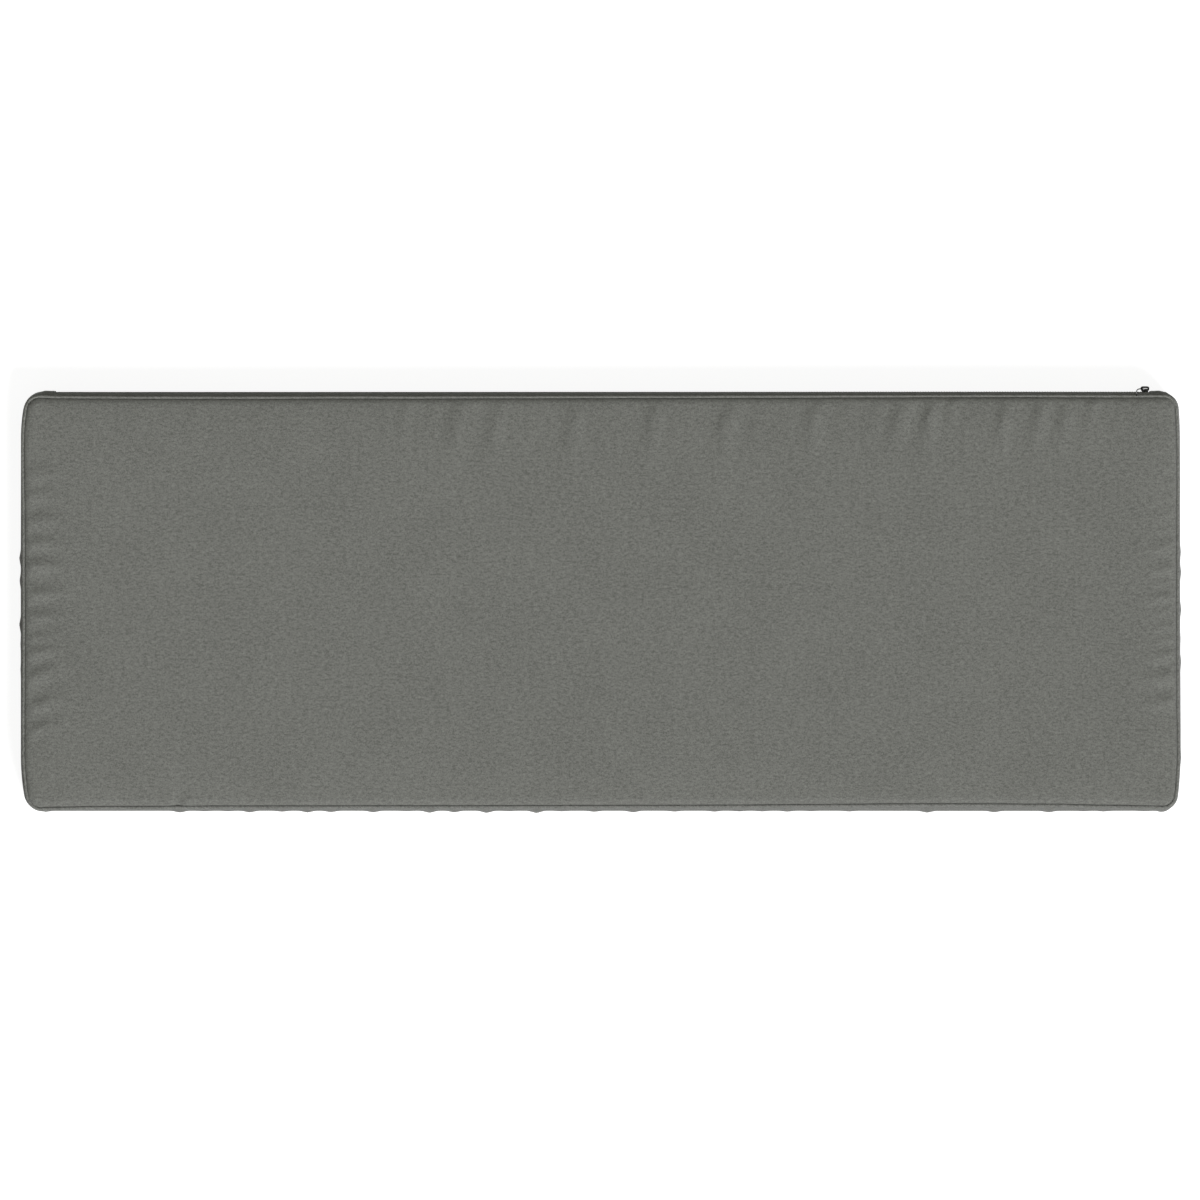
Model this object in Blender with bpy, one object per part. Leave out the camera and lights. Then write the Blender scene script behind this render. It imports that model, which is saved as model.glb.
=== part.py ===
"""Bench cushion: a filled boxed pad with corded piping in both seams and a zip along its back side.

Frame: metres, +Z up, +X along the length, +Y towards the zip side. The origin is at the middle of the
bounding box in plan, on the surface that the lower panel lies on.
"""

import math

import bmesh
import bpy
import numpy as np
from mathutils import Vector

MM = 0.001

# Driving dimensions, in metres.
LENGTH = 1.400                      # over the piping, along X
DEPTH = 0.5015                      # over the piping, along Y
CORNER_RADIUS = 17.5 * MM           # plan radius of the outer line at the corners
PIPING_RADIUS = 2.1 * MM
LOWER_SEAM_Z = 6.0 * MM             # height of the lower piping's middle
UPPER_SEAM_Z = 63.0 * MM            # height of the upper piping's middle
CROWN_Z = 72.0 * MM                 # height of the upper panel in the middle
CLOTH = 1.2 * MM                    # thickness of the boxing cloth
TAPE = 0.8 * MM                     # thickness of the zip tape
GAP = 0.3 * MM                      # air between neighbouring pieces
ZIP_LEFT_X = -659.0 * MM            # where the zip ends in the boxing, left and right
ZIP_RIGHT_X = 664.5 * MM
ZIP_REACH_Y = 255.2 * MM            # outer face of the chain, from the cushion's middle
CHAIN_HEIGHT = 5.8 * MM
CHAIN_THICKNESS = 2.2 * MM
TAPE_SHOWING = 4.2 * MM             # tape between the chain and the cloth's folded edge
TAPE_HIDDEN = 5.0 * MM              # tape behind the cloth's folded edge
SLIDER_X = 657.7 * MM
SLIDER_LENGTH = 7.8                 # these slider sizes are in millimetres, from the chain's outer face
PLATE_OUT = 2.8
FLANGE_OUT = -0.7
BOSS_OUT = 3.9                      # raised middle of the front plate, under the bridge
BRIDGE_OUT = 5.55
BRIDGE_RADIUS = 1.15 * MM
PULL_RADIUS = 0.5 * MM
EYE_ALONG = -4.15
EYE_OUT = 3.6

HALF_LENGTH = LENGTH / 2
HALF_DEPTH = DEPTH / 2
ZIP_Z = (LOWER_SEAM_Z + UPPER_SEAM_Z) / 2
CLOTH_HALF = CLOTH / 2
SLIDER_REACH_Y = ZIP_REACH_Y + BRIDGE_OUT * MM + BRIDGE_RADIUS
FRONT_REACH_Y = HALF_DEPTH + 2.5 * MM               # crest of the tallest crease in the front
FRAME_SHIFT_Y = -(SLIDER_REACH_Y - FRONT_REACH_Y) / 2  # brings the bounding box's middle onto the origin

# How the ends draw in towards each corner: end side, long side, draw-in and the length it runs along the end.
CORNER_TAPERS = (
    # end, long side, draw_in_mm, run_mm
    ("left", "back", 6.2, 51.0),
    ("right", "back", 2.9, 55.0),
    ("left", "front", 7.8, 66.0),
    ("right", "front", 5.4, 63.0),
)

# How far the upper piping's outer line lies inside the outline, along each side.
UPPER_DRAW_IN = {
    # side: ((at_mm, inward_mm), ...)
    "front": (
        (-698.0, 0.2), (-693.0, -0.1), (-682.0, 0.0), (-664.0, 0.7), (-604.0, 1.7), (-423.0, 2.4),
        (-230.0, 2.5), (30.0, 3.0), (151.0, 3.3), (242.0, 4.0), (362.0, 4.9), (430.0, 5.0),
        (544.0, 4.5), (604.0, 3.3), (664.0, 2.4), (682.0, 1.9), (697.0, 0.9),
    ),
    "back": (
        (-700.0, -1.6), (-695.0, -1.2), (-682.0, -0.7), (-652.0, 0.0), (-616.0, 0.3), (-543.0, 0.5),
        (-483.0, 0.6), (-400.0, 0.6), (-320.0, 0.3), (-229.0, 0.4), (-139.0, 0.1), (72.0, -0.3),
        (193.0, -0.6), (315.0, -1.0), (430.0, -1.3), (500.0, -1.4), (620.0, -1.0), (682.0, -1.2),
        (698.0, -1.5),
    ),
    "left": (
        (-250.0, 0.2), (-247.0, 0.6), (-243.0, 1.4), (-215.0, 1.8), (-178.0, 1.3), (-142.0, 1.3),
        (-105.0, 1.6), (-33.0, 1.8), (39.0, 1.6), (112.0, 1.5), (148.0, 0.9), (184.0, 0.5),
        (208.0, 1.0), (233.0, 1.3), (241.0, 0.6), (246.0, 0.0), (250.0, -0.8),
    ),
    "right": (
        (-215.0, 0.4), (-178.0, -0.2), (-105.0, 0.6), (-33.0, 0.9), (75.0, 0.7), (112.0, 0.7),
        (148.0, 0.3), (184.0, 0.5), (210.0, 1.2), (233.0, 1.2), (241.0, 0.4), (246.0, -0.5),
        (250.0, -1.0),
    ),
}

# The same for the lower piping, which the photograph shows only at the left and the front.
LOWER_DRAW_IN = {
    "front": ((-650.0, 0.4), (-300.0, 0.0), (250.0, 0.3), (430.0, 0.9), (650.0, 0.2)),
    "back": ((-650.0, 0.6), (-100.0, 1.0), (400.0, 0.7), (620.0, 0.5)),
    "left": ((-215.0, 0.4), (0.0, 0.0), (215.0, 0.4)),
    "right": ((-215.0, 1.6), (0.0, 1.2), (215.0, 1.6)),
}

# Outer face of the boxing at mid height: how far it stands out past the outline between its creases.
BOXING_REACH = {
    "front": (
        (-695.0, 0.5), (-687.0, 0.7), (-682.0, 0.8), (-660.0, 0.3), (-400.0, 0.1), (0.0, 0.1),
        (290.0, 0.0), (420.0, 0.2), (660.0, 0.1), (674.0, 0.3), (682.0, 0.9), (688.0, 1.2),
        (693.0, 0.7),
    ),
    "back": (
        (-696.0, 3.7), (-690.0, 3.7), (-685.0, 4.2), (-680.0, 5.0), (-672.0, 5.9), (-655.0, 4.7),
        (660.0, 4.7), (676.0, 5.9), (685.0, 4.5), (688.0, 3.5), (691.0, 3.0),
    ),
    "left": ((-246.0, -0.2), (-233.0, -0.1), (-215.0, 0.0), (0.0, 0.1), (215.0, -0.1)),
    "right": (
        (-215.0, 0.4), (-170.0, 0.9), (0.0, 0.3), (215.0, 0.1), (236.0, 0.2), (241.0, 0.6),
        (245.0, 0.9),
    ),
}

# Creases of the boxing, each a soft upright ridge.
BOXING_CREASES = {
    # side: ((at_mm, out_mm), ...)
    "front": (
        (-671.0, 1.1), (-508.0, 2.1), (-478.0, 0.6), (-450.0, 0.6), (-424.0, 2.0), (-385.0, 1.1),
        (-354.0, 2.1), (-326.0, 1.7), (-275.0, 1.9), (-234.0, 0.5), (-206.0, 2.5), (-177.0, 1.9),
        (-138.0, 2.6), (-110.0, 0.5), (-77.0, 2.8), (-47.0, 0.7), (-8.0, 1.2), (40.0, 1.9),
        (89.0, 1.0), (138.0, 1.1), (167.0, 0.8), (196.0, 0.8), (225.0, 1.1), (255.0, 0.5),
        (301.0, 0.9), (395.0, 2.1), (475.0, 1.7), (542.0, 1.8), (583.0, 0.5), (608.0, 0.8),
        (656.0, 0.6), (682.0, 0.6),
    ),
    "back": (),
    "left": ((-80.0, 0.4), (-50.0, 0.4), (-26.0, 1.8), (27.0, 1.4), (54.0, 1.8)),
    "right": (
        (-187.0, 0.7), (-71.0, 1.0), (-43.0, 0.4), (-8.0, 1.3), (37.0, 1.2), (62.0, 0.9),
    ),
}
CREASE_HALF_WIDTH = 12.0            # millimetres from a ridge's crest to its foot

# Section of the filled pad from its side wall to the middle of each panel: distance inside the piping's
# middle, and height above or below the seam.
PANEL_SECTION = (
    # inside_mm, rise_mm
    (1.2, -2.7), (2.6, -0.4), (3.0, 1.6), (4.6, 3.6), (8.0, 5.3), (14.0, 6.4),
    (30.0, 7.1), (70.0, 8.0), (140.0, 8.7), (225.0, 9.0),
)
UNDERSIDE_SECTION = (
    # inside_mm, drop_mm
    (1.2, -2.7), (2.6, -0.4), (3.0, 1.6), (4.6, 3.4), (8.0, 4.8), (14.0, 5.6), (24.0, 6.0),
)
# The pull's stem, from the slider's middle: along the zip, out from the chain, up.
PULL_STEM = (
    # along_mm, out_mm, up_mm
    (-6.3, 3.6, 0.8), (-8.0, 3.2, 4.0), (-9.4, 2.3, 8.5), (-10.1, 1.1, 14.0),
    (-10.3, -0.5, 20.0), (-10.4, -1.8, 25.5), (-10.4, -2.2, 29.0), (-10.3, -3.3, 31.5), (-10.2, -5.1, 32.5),
)
WALL_FOLLOWS = 0.35                 # the pad's wall follows this much of the boxing's outward bulge
FADE_START = 5.0 * MM               # the outline's unevenness is whole up to here inside the seam,
EDGE_FADE = 0.150                   # and dies out over this distance
SMALLEST_INNER_RADIUS = 3.0 * MM

# Spacing of the sections along each side.
COARSE_STEP = 75.0 * MM
ARC_STEPS = 7
TAPER_STEPS = 3
TAPER_RUN = 62.0 * MM
TAPER_BLEND = 15.0 * MM             # along the long sides the taper starts this far before the corner


def reset_scene():
    for obj in list(bpy.data.objects):
        bpy.data.objects.remove(obj, do_unlink=True)


def material(name, colour, roughness, metallic=0.0):
    mat = bpy.data.materials.new(name)
    mat.use_nodes = True
    shader = mat.node_tree.nodes["Principled BSDF"]
    shader.inputs["Base Color"].default_value = (*colour, 1.0)
    shader.inputs["Roughness"].default_value = roughness
    shader.inputs["Metallic"].default_value = metallic
    return mat


def table_value(rows, at):
    """Value of a table at a place given in metres, smoothed between its rows; the result is in metres."""
    places = [row[0] * MM for row in rows]
    values = [row[1] * MM for row in rows]
    if at <= places[0]:
        return values[0]
    if at >= places[-1]:
        return values[-1]
    k = int(np.searchsorted(places, at)) - 1
    t = (at - places[k]) / (places[k + 1] - places[k])
    t = t * t * (3 - 2 * t)
    return values[k] + (values[k + 1] - values[k]) * t


class Station:
    """A place on the outline: its outward direction and its share of each side's length."""

    def __init__(self, share_x, share_y, angle):
        self.share = (share_x, share_y)
        self.out = (math.cos(angle), math.sin(angle))

    def inset(self, distance):
        """Point of the plain rounded rectangle that lies this far inside the outline."""
        radius = max(CORNER_RADIUS - distance, SMALLEST_INNER_RADIUS)
        reach = (HALF_LENGTH - distance - radius, HALF_DEPTH - distance - radius)
        return tuple(self.share[i] * reach[i] + radius * self.out[i] for i in (0, 1))

    def blend(self, table):
        """A table's value here: each side counts by how squarely the station faces it."""
        x, y = self.inset(0.0)
        end = "right" if self.out[0] > 0 else "left"
        long_side = "back" if self.out[1] > 0 else "front"
        at_end = table_value(table[end], y)
        at_long = table_value(table[long_side], x)
        return at_end * self.out[0] ** 2 + at_long * self.out[1] ** 2

    def taper(self):
        """How far the ends draw in here, along X."""
        x, y = self.inset(0.0)
        near_end = (abs(x) - (HALF_LENGTH - CORNER_RADIUS - TAPER_BLEND)) / TAPER_BLEND
        near_end = min(max(near_end, 0.0), 1.0)
        weight = near_end * near_end * (3 - 2 * near_end)
        for end, long_side, draw_in, run in CORNER_TAPERS:
            if (end == "right") == (x > 0) and (long_side == "back") == (y > 0):
                along = (abs(y) - (HALF_DEPTH - run * MM)) / (run * MM)
                return -math.copysign(draw_in * MM * max(along, 0.0) ** 2 * weight, x)
        return 0.0

    def crease(self):
        """How far the boxing's creases stand out here."""
        x, y = self.inset(0.0)
        if abs(self.out[0]) > abs(self.out[1]):
            rows, at = BOXING_CREASES["right" if self.out[0] > 0 else "left"], y
        else:
            rows, at = BOXING_CREASES["back" if self.out[1] > 0 else "front"], x
        total = 0.0
        for place, height in rows:
            t = abs(at - place * MM) / (CREASE_HALF_WIDTH * MM)
            if t < 1.0:
                total += height * MM * (0.5 + 0.5 * math.cos(math.pi * t))
        return total

    def line(self, outward, inside=0.0, fade=1.0):
        """Plan point: this far inside the outline, moved outward by a rail's own amount and by the taper."""
        x, y = self.inset(inside)
        return (
            x + fade * (self.taper() + self.out[0] * outward),
            y + fade * self.out[1] * outward + FRAME_SHIFT_Y,
        )


def crease_places(side):
    """Where the boxing needs a section: on each crest, and at the low between two crests or at their feet."""
    crests = [row[0] * MM for row in BOXING_CREASES[side]]
    foot = CREASE_HALF_WIDTH * MM
    places = list(crests)
    for low, high in zip(crests, crests[1:]):
        places += [(low + high) / 2] if high - low < 2.4 * foot else [low + foot, high - foot]
    return places


def side_places(length, wanted):
    """Places along a side in rising order: even steps, closer ones at the ends, and the wanted ones."""
    straight = length / 2 - CORNER_RADIUS
    even = straight - TAPER_RUN
    middle = np.linspace(-even, even, max(2, round(2 * even / COARSE_STEP)) + 1)
    ends = np.linspace(even, straight, TAPER_STEPS + 1)[1:-1]
    plain = [*(-ends), *middle, *ends]
    kept = [float(v) for v in plain if all(abs(v - w) > CREASE_HALF_WIDTH * MM for w in wanted)]
    return sorted(kept + [w for w in wanted if abs(w) < straight - 1 * MM])


def outline(creased=False):
    """Stations all the way round, anticlockwise seen from above, starting on the front side."""
    sides = (
        # name, length, share pair of a place, outward angle, direction of travel along the side
        ("front", LENGTH, lambda s: (s, -1.0), -math.pi / 2, 1),
        ("right", DEPTH, lambda s: (1.0, s), 0.0, 1),
        ("back", LENGTH, lambda s: (s, 1.0), math.pi / 2, -1),
        ("left", DEPTH, lambda s: (-1.0, s), math.pi, -1),
    )
    stations = []
    for name, length, pair, angle, travel in sides:
        straight = length / 2 - CORNER_RADIUS
        places = side_places(length, crease_places(name) if creased else [])
        stations += [Station(*pair(at / straight), angle) for at in places[::travel]]
        for k in range(ARC_STEPS + 1):
            stations.append(Station(*pair(float(travel)), angle + k / ARC_STEPS * math.pi / 2))
    return stations


def mesh_object(name, verts, faces, mat, smooth_angle=math.radians(50)):
    mesh = bpy.data.meshes.new(name)
    mesh.from_pydata([tuple(v) for v in verts], [], faces)
    bm = bmesh.new()
    bm.from_mesh(mesh)
    bmesh.ops.recalc_face_normals(bm, faces=bm.faces)
    bm.to_mesh(mesh)
    bm.free()
    mesh.materials.append(mat)
    mesh.shade_smooth()
    mesh.set_sharp_from_angle(angle=smooth_angle)
    obj = bpy.data.objects.new(name, mesh)
    bpy.context.scene.collection.objects.link(obj)
    return obj


def stacked_rings(rings):
    """Vertices and faces of closed rings joined in order, with the first and last ring filled."""
    size = len(rings[0])
    verts = [p for ring in rings for p in ring]
    faces = []
    for r in range(len(rings) - 1):
        for k in range(size):
            n = (k + 1) % size
            faces.append((r * size + k, r * size + n, (r + 1) * size + n, (r + 1) * size + k))
    faces.append(tuple(reversed(range(size))))
    faces.append(tuple((len(rings) - 1) * size + k for k in range(size)))
    return verts, faces


def swept(sections, closed):
    """Vertices and faces of a bar whose closed sections follow each other, joined end to end or capped."""
    size = len(sections[0])
    count = len(sections)
    verts = [p for section in sections for p in section]
    faces = []
    for s in range(count if closed else count - 1):
        t = (s + 1) % count
        for k in range(size):
            n = (k + 1) % size
            faces.append((s * size + k, s * size + n, t * size + n, t * size + k))
    if not closed:
        faces.append(tuple(reversed(range(size))))
        faces.append(tuple((count - 1) * size + k for k in range(size)))
    return verts, faces


def tube(points, radius, sides, closed=False):
    """Round bar along a path in space."""
    points = [Vector(p) for p in points]
    count = len(points)
    normal = None
    sections = []
    for k, point in enumerate(points):
        if closed:
            along = points[(k + 1) % count] - points[k - 1]
        else:
            along = points[min(k + 1, count - 1)] - points[max(k - 1, 0)]
        along.normalize()
        if normal is None:
            normal = along.orthogonal().normalized()
        normal = (normal - along * normal.dot(along)).normalized()
        other = along.cross(normal)
        sections.append([
            point + radius * (math.cos(a) * normal + math.sin(a) * other)
            for a in (2 * math.pi * i / sides for i in range(sides))
        ])
    return swept(sections, closed)


def make_cushion_body(stations, cloth):
    """The filled pad with its two panels: a crowned upper face, rounded seam edges and a flat underside."""
    rings = []
    for inside, drop in reversed(UNDERSIDE_SECTION):
        z = max(LOWER_SEAM_Z - drop * MM, 0.0)
        rings.append(panel_ring(stations, inside * MM, z, LOWER_DRAW_IN))
    rings.append(wall_ring(stations))
    for inside, rise in PANEL_SECTION:
        z = min(UPPER_SEAM_Z + rise * MM, CROWN_Z)
        rings.append(panel_ring(stations, inside * MM, z, UPPER_DRAW_IN))
    return mesh_object("cushion_body", *stacked_rings(rings), cloth)


def panel_ring(stations, inside, z, draw_in):
    fade = max(0.0, 1.0 - max(0.0, inside - FADE_START) / EDGE_FADE) ** 2
    ring = []
    for station in stations:
        outward = -station.blend(draw_in)
        ring.append((*station.line(outward, PIPING_RADIUS + inside, fade), z))
    return ring


def wall_ring(stations):
    """The pad's side at mid height, just behind the boxing and the zip."""
    ring = []
    for station in stations:
        reach = station.blend(BOXING_REACH)
        outward = min(reach, reach * WALL_FOLLOWS) - CLOTH - 3 * GAP
        ring.append((*station.line(outward), ZIP_Z))
    return ring


def make_piping(name, stations, z, draw_in, cloth):
    path = [
        (*station.line(-station.blend(draw_in) - PIPING_RADIUS), z)
        for station in stations
    ]
    return mesh_object(name, *tube(path, PIPING_RADIUS, 6, closed=True), cloth, math.radians(80))


def boxing_height():
    """Height of the boxing between the two cords."""
    return UPPER_SEAM_Z - LOWER_SEAM_Z - 2 * (PIPING_RADIUS + GAP)


def boxing_point(station, height_share, inward):
    """Point on the boxing: its outer face runs from one seam to the other and bulges between them."""
    low = CLOTH_HALF - PIPING_RADIUS - station.blend(LOWER_DRAW_IN)
    high = CLOTH_HALF - PIPING_RADIUS - station.blend(UPPER_DRAW_IN)
    reach = station.blend(BOXING_REACH) + station.crease()
    bulge = reach - (low + high) / 2
    outward = low + (high - low) * height_share + bulge * 4 * height_share * (1 - height_share)
    z = LOWER_SEAM_Z + PIPING_RADIUS + GAP + boxing_height() * height_share
    return (*station.line(outward - inward), z)


def strip_section(station, shares, depth, thickness, inner_shares=None):
    """Closed section of a strip that follows the boxing, this deep behind its outer face."""
    outer = [boxing_point(station, share, depth) for share in shares]
    back = [boxing_point(station, share, depth + thickness) for share in inner_shares or shares]
    return outer + back[::-1]


def in_zip_span(station):
    x = station.line(0.0)[0]
    return station.out[1] > 0.99 and ZIP_LEFT_X < x < ZIP_RIGHT_X


def back_station(x):
    """Station on the straight back side at this X."""
    return Station(x / (HALF_LENGTH - CORNER_RADIUS), 1.0, math.pi / 2)


def make_boxing(stations, cloth):
    """One strip round both ends and the front, from the zip's left end to its right end."""
    inside = [in_zip_span(station) for station in stations]
    first = next(k for k in range(len(stations)) if inside[k - 1] and not inside[k])
    run = [stations[(first + k) % len(stations)] for k in range(len(stations))]
    run = [station for station in run if not in_zip_span(station)]
    run = [back_station(ZIP_LEFT_X - GAP), *run, back_station(ZIP_RIGHT_X + GAP)]
    shares = (0.0, 0.25, 0.5, 0.75, 1.0)
    sections = [strip_section(station, shares, 0.0, CLOTH, (0.0, 0.5, 1.0)) for station in run]
    return mesh_object("boxing_main", *swept(sections, closed=False), cloth)


def make_zip_side(cloth, tape):
    """The two cloth strips, and the tape that each one's folded edge is sewn to."""
    count = round((ZIP_RIGHT_X - ZIP_LEFT_X) / COARSE_STEP)
    stations = [back_station(x) for x in np.linspace(ZIP_LEFT_X + GAP, ZIP_RIGHT_X - GAP, count + 1)]
    near = (CHAIN_HEIGHT / 2 + GAP) / boxing_height()
    fold = near + TAPE_SHOWING / boxing_height()
    far = fold + TAPE_HIDDEN / boxing_height()
    strips = (
        # name, offsets of its section from the zip's line as shares of the height, depth, thickness, material
        ("zip_strip_upper", (fold, far, 0.4, 0.5), 0.0, CLOTH, cloth),
        ("zip_strip_lower", (-0.5, -0.4, -far, -fold), 0.0, CLOTH, cloth),
        ("zip_tape_upper", (near, fold, far), CLOTH + GAP, TAPE, tape),
        ("zip_tape_lower", (-far, -fold, -near), CLOTH + GAP, TAPE, tape),
    )
    for name, offsets, depth, thickness, mat in strips:
        shares = [0.5 + offset for offset in offsets]
        sections = [strip_section(station, shares, depth, thickness) for station in stations]
        mesh_object(name, *swept(sections, closed=False), mat)


def make_chain(coil):
    """The closed chain, standing out between the tapes and ending inside the slider."""
    low_y = ZIP_REACH_Y - CHAIN_THICKNESS + FRAME_SHIFT_Y
    high_y = ZIP_REACH_Y + FRAME_SHIFT_Y
    half = CHAIN_HEIGHT / 2
    corners = ((low_y, ZIP_Z - half), (high_y, ZIP_Z - half), (high_y, ZIP_Z + half), (low_y, ZIP_Z + half))
    ends = [[(x, y, z) for y, z in corners] for x in (ZIP_LEFT_X + GAP, SLIDER_X)]
    return mesh_object("zip_chain", *swept(ends, closed=False), coil)


def at_slider(x_mm, out_mm, up_mm):
    """Point given from the slider's middle: along the zip, out from the chain's outer face, and up."""
    return (SLIDER_X + x_mm * MM, ZIP_REACH_Y + FRAME_SHIFT_Y + out_mm * MM, ZIP_Z + up_mm * MM)


def slider_bar(name, sections, mat):
    """Bar through closed sections of (out_mm, up_mm), each at its own place along the zip."""
    rings = [[at_slider(x, out, up) for out, up in section] for x, section in sections]
    return mesh_object(name, *swept(rings, closed=False), mat)


def join(target, others):
    """Unions the other solids into the first one and removes them."""
    for other in others:
        union = target.modifiers.new(f"with_{other.name}", "BOOLEAN")
        union.operation = "UNION"
        union.solver = "EXACT"
        union.object = other
        bpy.context.view_layer.update()
        evaluated = target.evaluated_get(bpy.context.evaluated_depsgraph_get())
        mesh = bpy.data.meshes.new_from_object(evaluated)
        target.modifiers.clear()
        target.data = mesh
        bpy.data.objects.remove(other, do_unlink=True)
    target.data.set_sharp_from_angle(angle=math.radians(50))
    return target


def smooth_path(points, steps):
    """Catmull-Rom curve through the given points, with this many steps between two of them."""
    points = [Vector(p) for p in points]
    padded = [2 * points[0] - points[1], *points, 2 * points[-1] - points[-2]]
    path = []
    for a, b, c, d in zip(padded, padded[1:], padded[2:], padded[3:]):
        for k in range(steps):
            t = k / steps
            path.append(0.5 * (
                2 * b + (c - a) * t + (2 * a - 5 * b + 4 * c - d) * t ** 2 + (3 * b - a - 3 * c + d) * t ** 3
            ))
    return [*path, points[-1]]


def channel_section(half_height, out):
    """Front plate with its two flanges: the chain runs in the channel between them."""
    inner = CHAIN_HEIGHT / MM / 2 + GAP / MM
    gap = GAP / MM
    top = ((FLANGE_OUT, inner), (gap, inner), (gap, -inner), (FLANGE_OUT, -inner))
    low = ((FLANGE_OUT, -half_height), (out - 0.6, -half_height), (out, -half_height + 1.0))
    return [*top, *low, *((o, -u) for o, u in reversed(low))]


def make_slider(metal):
    """Front plate and flanges, wedge between the plates, plate inside the cover, boss and bridge."""
    half = SLIDER_LENGTH / 2
    body = slider_bar("zip_slider", [
        (-half, channel_section(3.9, PLATE_OUT - 0.4)),
        (-half + 1.2, channel_section(4.2, PLATE_OUT)),
        (half - 1.6, channel_section(4.4, PLATE_OUT)),
        (half, channel_section(3.9, PLATE_OUT - 0.4)),
    ], metal)
    wedge = ((-3.3, -1.3), (1.0, -1.3), (1.0, 1.3), (-3.3, 1.3))
    inner = ((-3.7, -3.6), (-2.7, -3.6), (-2.7, 3.6), (-3.7, 3.6))
    boss = ((1.0, -1.2), (BOSS_OUT, -0.9), (BOSS_OUT, 0.9), (1.0, 1.2))
    parts = [
        slider_bar("wedge", [(0.6, wedge), (half - 0.4, wedge)], metal),
        slider_bar("inner_plate", [(-half + 0.3, inner), (half - 0.3, inner)], metal),
        slider_bar("boss", [(-1.1, boss), (half - 0.7, boss)], metal),
    ]
    side = [(2.6, 1.55), (3.5, 2.1), (4.05, 3.0), (4.2, 4.1), (4.0, 5.0), (2.8, BRIDGE_OUT)]
    arch = [(-x, out) for x, out in side] + [(x, out) for x, out in reversed(side)]
    path = smooth_path([at_slider(x, out, 0.0) for x, out in arch], 2)
    parts.append(mesh_object("bridge", *tube(path, BRIDGE_RADIUS, 8), metal))
    return join(body, parts)


def make_pull(metal):
    """Bent pull: an eye round the bridge's left leg, and a stem that bends over the upper piping."""
    eye_radius = BRIDGE_RADIUS + 2 * GAP + PULL_RADIUS
    ring = [
        at_slider(EYE_ALONG + eye_radius / MM * math.cos(a), EYE_OUT, eye_radius / MM * math.sin(a))
        for a in (2 * math.pi * k / 12 for k in range(12))
    ]
    eye = mesh_object("zip_pull", *tube(ring, PULL_RADIUS, 6, closed=True), metal)
    stem = smooth_path([at_slider(*point) for point in PULL_STEM], 3)
    return join(eye, [mesh_object("stem", *tube(stem, PULL_RADIUS, 6), metal)])


def main():
    reset_scene()
    cloth = material("grey_cloth", (0.162, 0.165, 0.151), 0.9)
    piping = material("piping_cloth", (0.175, 0.178, 0.166), 0.88)
    tape = material("zip_tape", (0.055, 0.057, 0.052), 0.85)
    coil = material("zip_coil", (0.040, 0.041, 0.038), 0.45)
    metal = material("slider_metal", (0.022, 0.022, 0.020), 0.38, 1.0)
    coarse = outline()
    make_cushion_body(coarse, cloth)
    make_piping("piping_upper", coarse, UPPER_SEAM_Z, UPPER_DRAW_IN, piping)
    make_piping("piping_lower", coarse, LOWER_SEAM_Z, LOWER_DRAW_IN, piping)
    make_boxing(outline(creased=True), cloth)
    make_zip_side(cloth, tape)
    make_chain(coil)
    make_slider(metal)
    make_pull(metal)


main()
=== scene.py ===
"""Looks of the bench cushion: padded panels, boxing, corded piping and the zip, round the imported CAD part.

Frame: metres, +Z up, +X along the length, +Y towards the zip side. The photograph looks straight down.
"""

import math

import bmesh
import bpy
import numpy as np
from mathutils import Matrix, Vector, noise


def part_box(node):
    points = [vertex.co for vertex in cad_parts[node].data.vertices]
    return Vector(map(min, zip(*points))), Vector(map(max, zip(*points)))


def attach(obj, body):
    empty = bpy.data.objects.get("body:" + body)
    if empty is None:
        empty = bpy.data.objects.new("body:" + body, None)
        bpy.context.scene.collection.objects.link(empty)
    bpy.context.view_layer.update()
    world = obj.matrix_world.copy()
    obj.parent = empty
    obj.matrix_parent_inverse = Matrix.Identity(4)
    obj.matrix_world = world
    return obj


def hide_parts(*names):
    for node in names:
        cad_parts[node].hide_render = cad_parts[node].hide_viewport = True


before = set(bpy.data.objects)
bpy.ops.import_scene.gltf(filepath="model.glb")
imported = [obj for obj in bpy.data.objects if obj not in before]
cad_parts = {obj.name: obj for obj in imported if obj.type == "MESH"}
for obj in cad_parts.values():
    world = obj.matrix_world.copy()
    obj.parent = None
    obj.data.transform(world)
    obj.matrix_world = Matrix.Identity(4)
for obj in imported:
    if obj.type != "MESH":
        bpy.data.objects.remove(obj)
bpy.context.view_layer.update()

MM = 0.001

# -------- sizes shared with the CAD part, in metres
LENGTH = 1.400  # over the piping, along X
DEPTH = 0.5015  # over the piping, along Y
CORNER_RADIUS = 17.5 * MM
PIPING_RADIUS = 2.1 * MM
CLOTH = 1.2 * MM  # thickness of the boxing cloth
TAPE = 0.8 * MM
GAP = 0.3 * MM
HALF_LENGTH = LENGTH / 2
HALF_DEPTH = DEPTH / 2

# Heights and the zip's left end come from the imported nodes.
UPPER_SEAM_Z = sum(corner.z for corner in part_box("piping_upper")) / 2
LOWER_SEAM_Z = sum(corner.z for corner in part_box("piping_lower")) / 2
CHAIN_LOW, CHAIN_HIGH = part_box("zip_chain")
ZIP_Z = (CHAIN_LOW.z + CHAIN_HIGH.z) / 2
CHAIN_HEIGHT = CHAIN_HIGH.z - CHAIN_LOW.z
ZIP_LEFT_X = CHAIN_LOW.x - GAP
ZIP_RIGHT_X = 664.5 * MM  # past the slider
FRAME_SHIFT_Y = -4.325 * MM  # from the middle of the outline to the frame's origin

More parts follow.
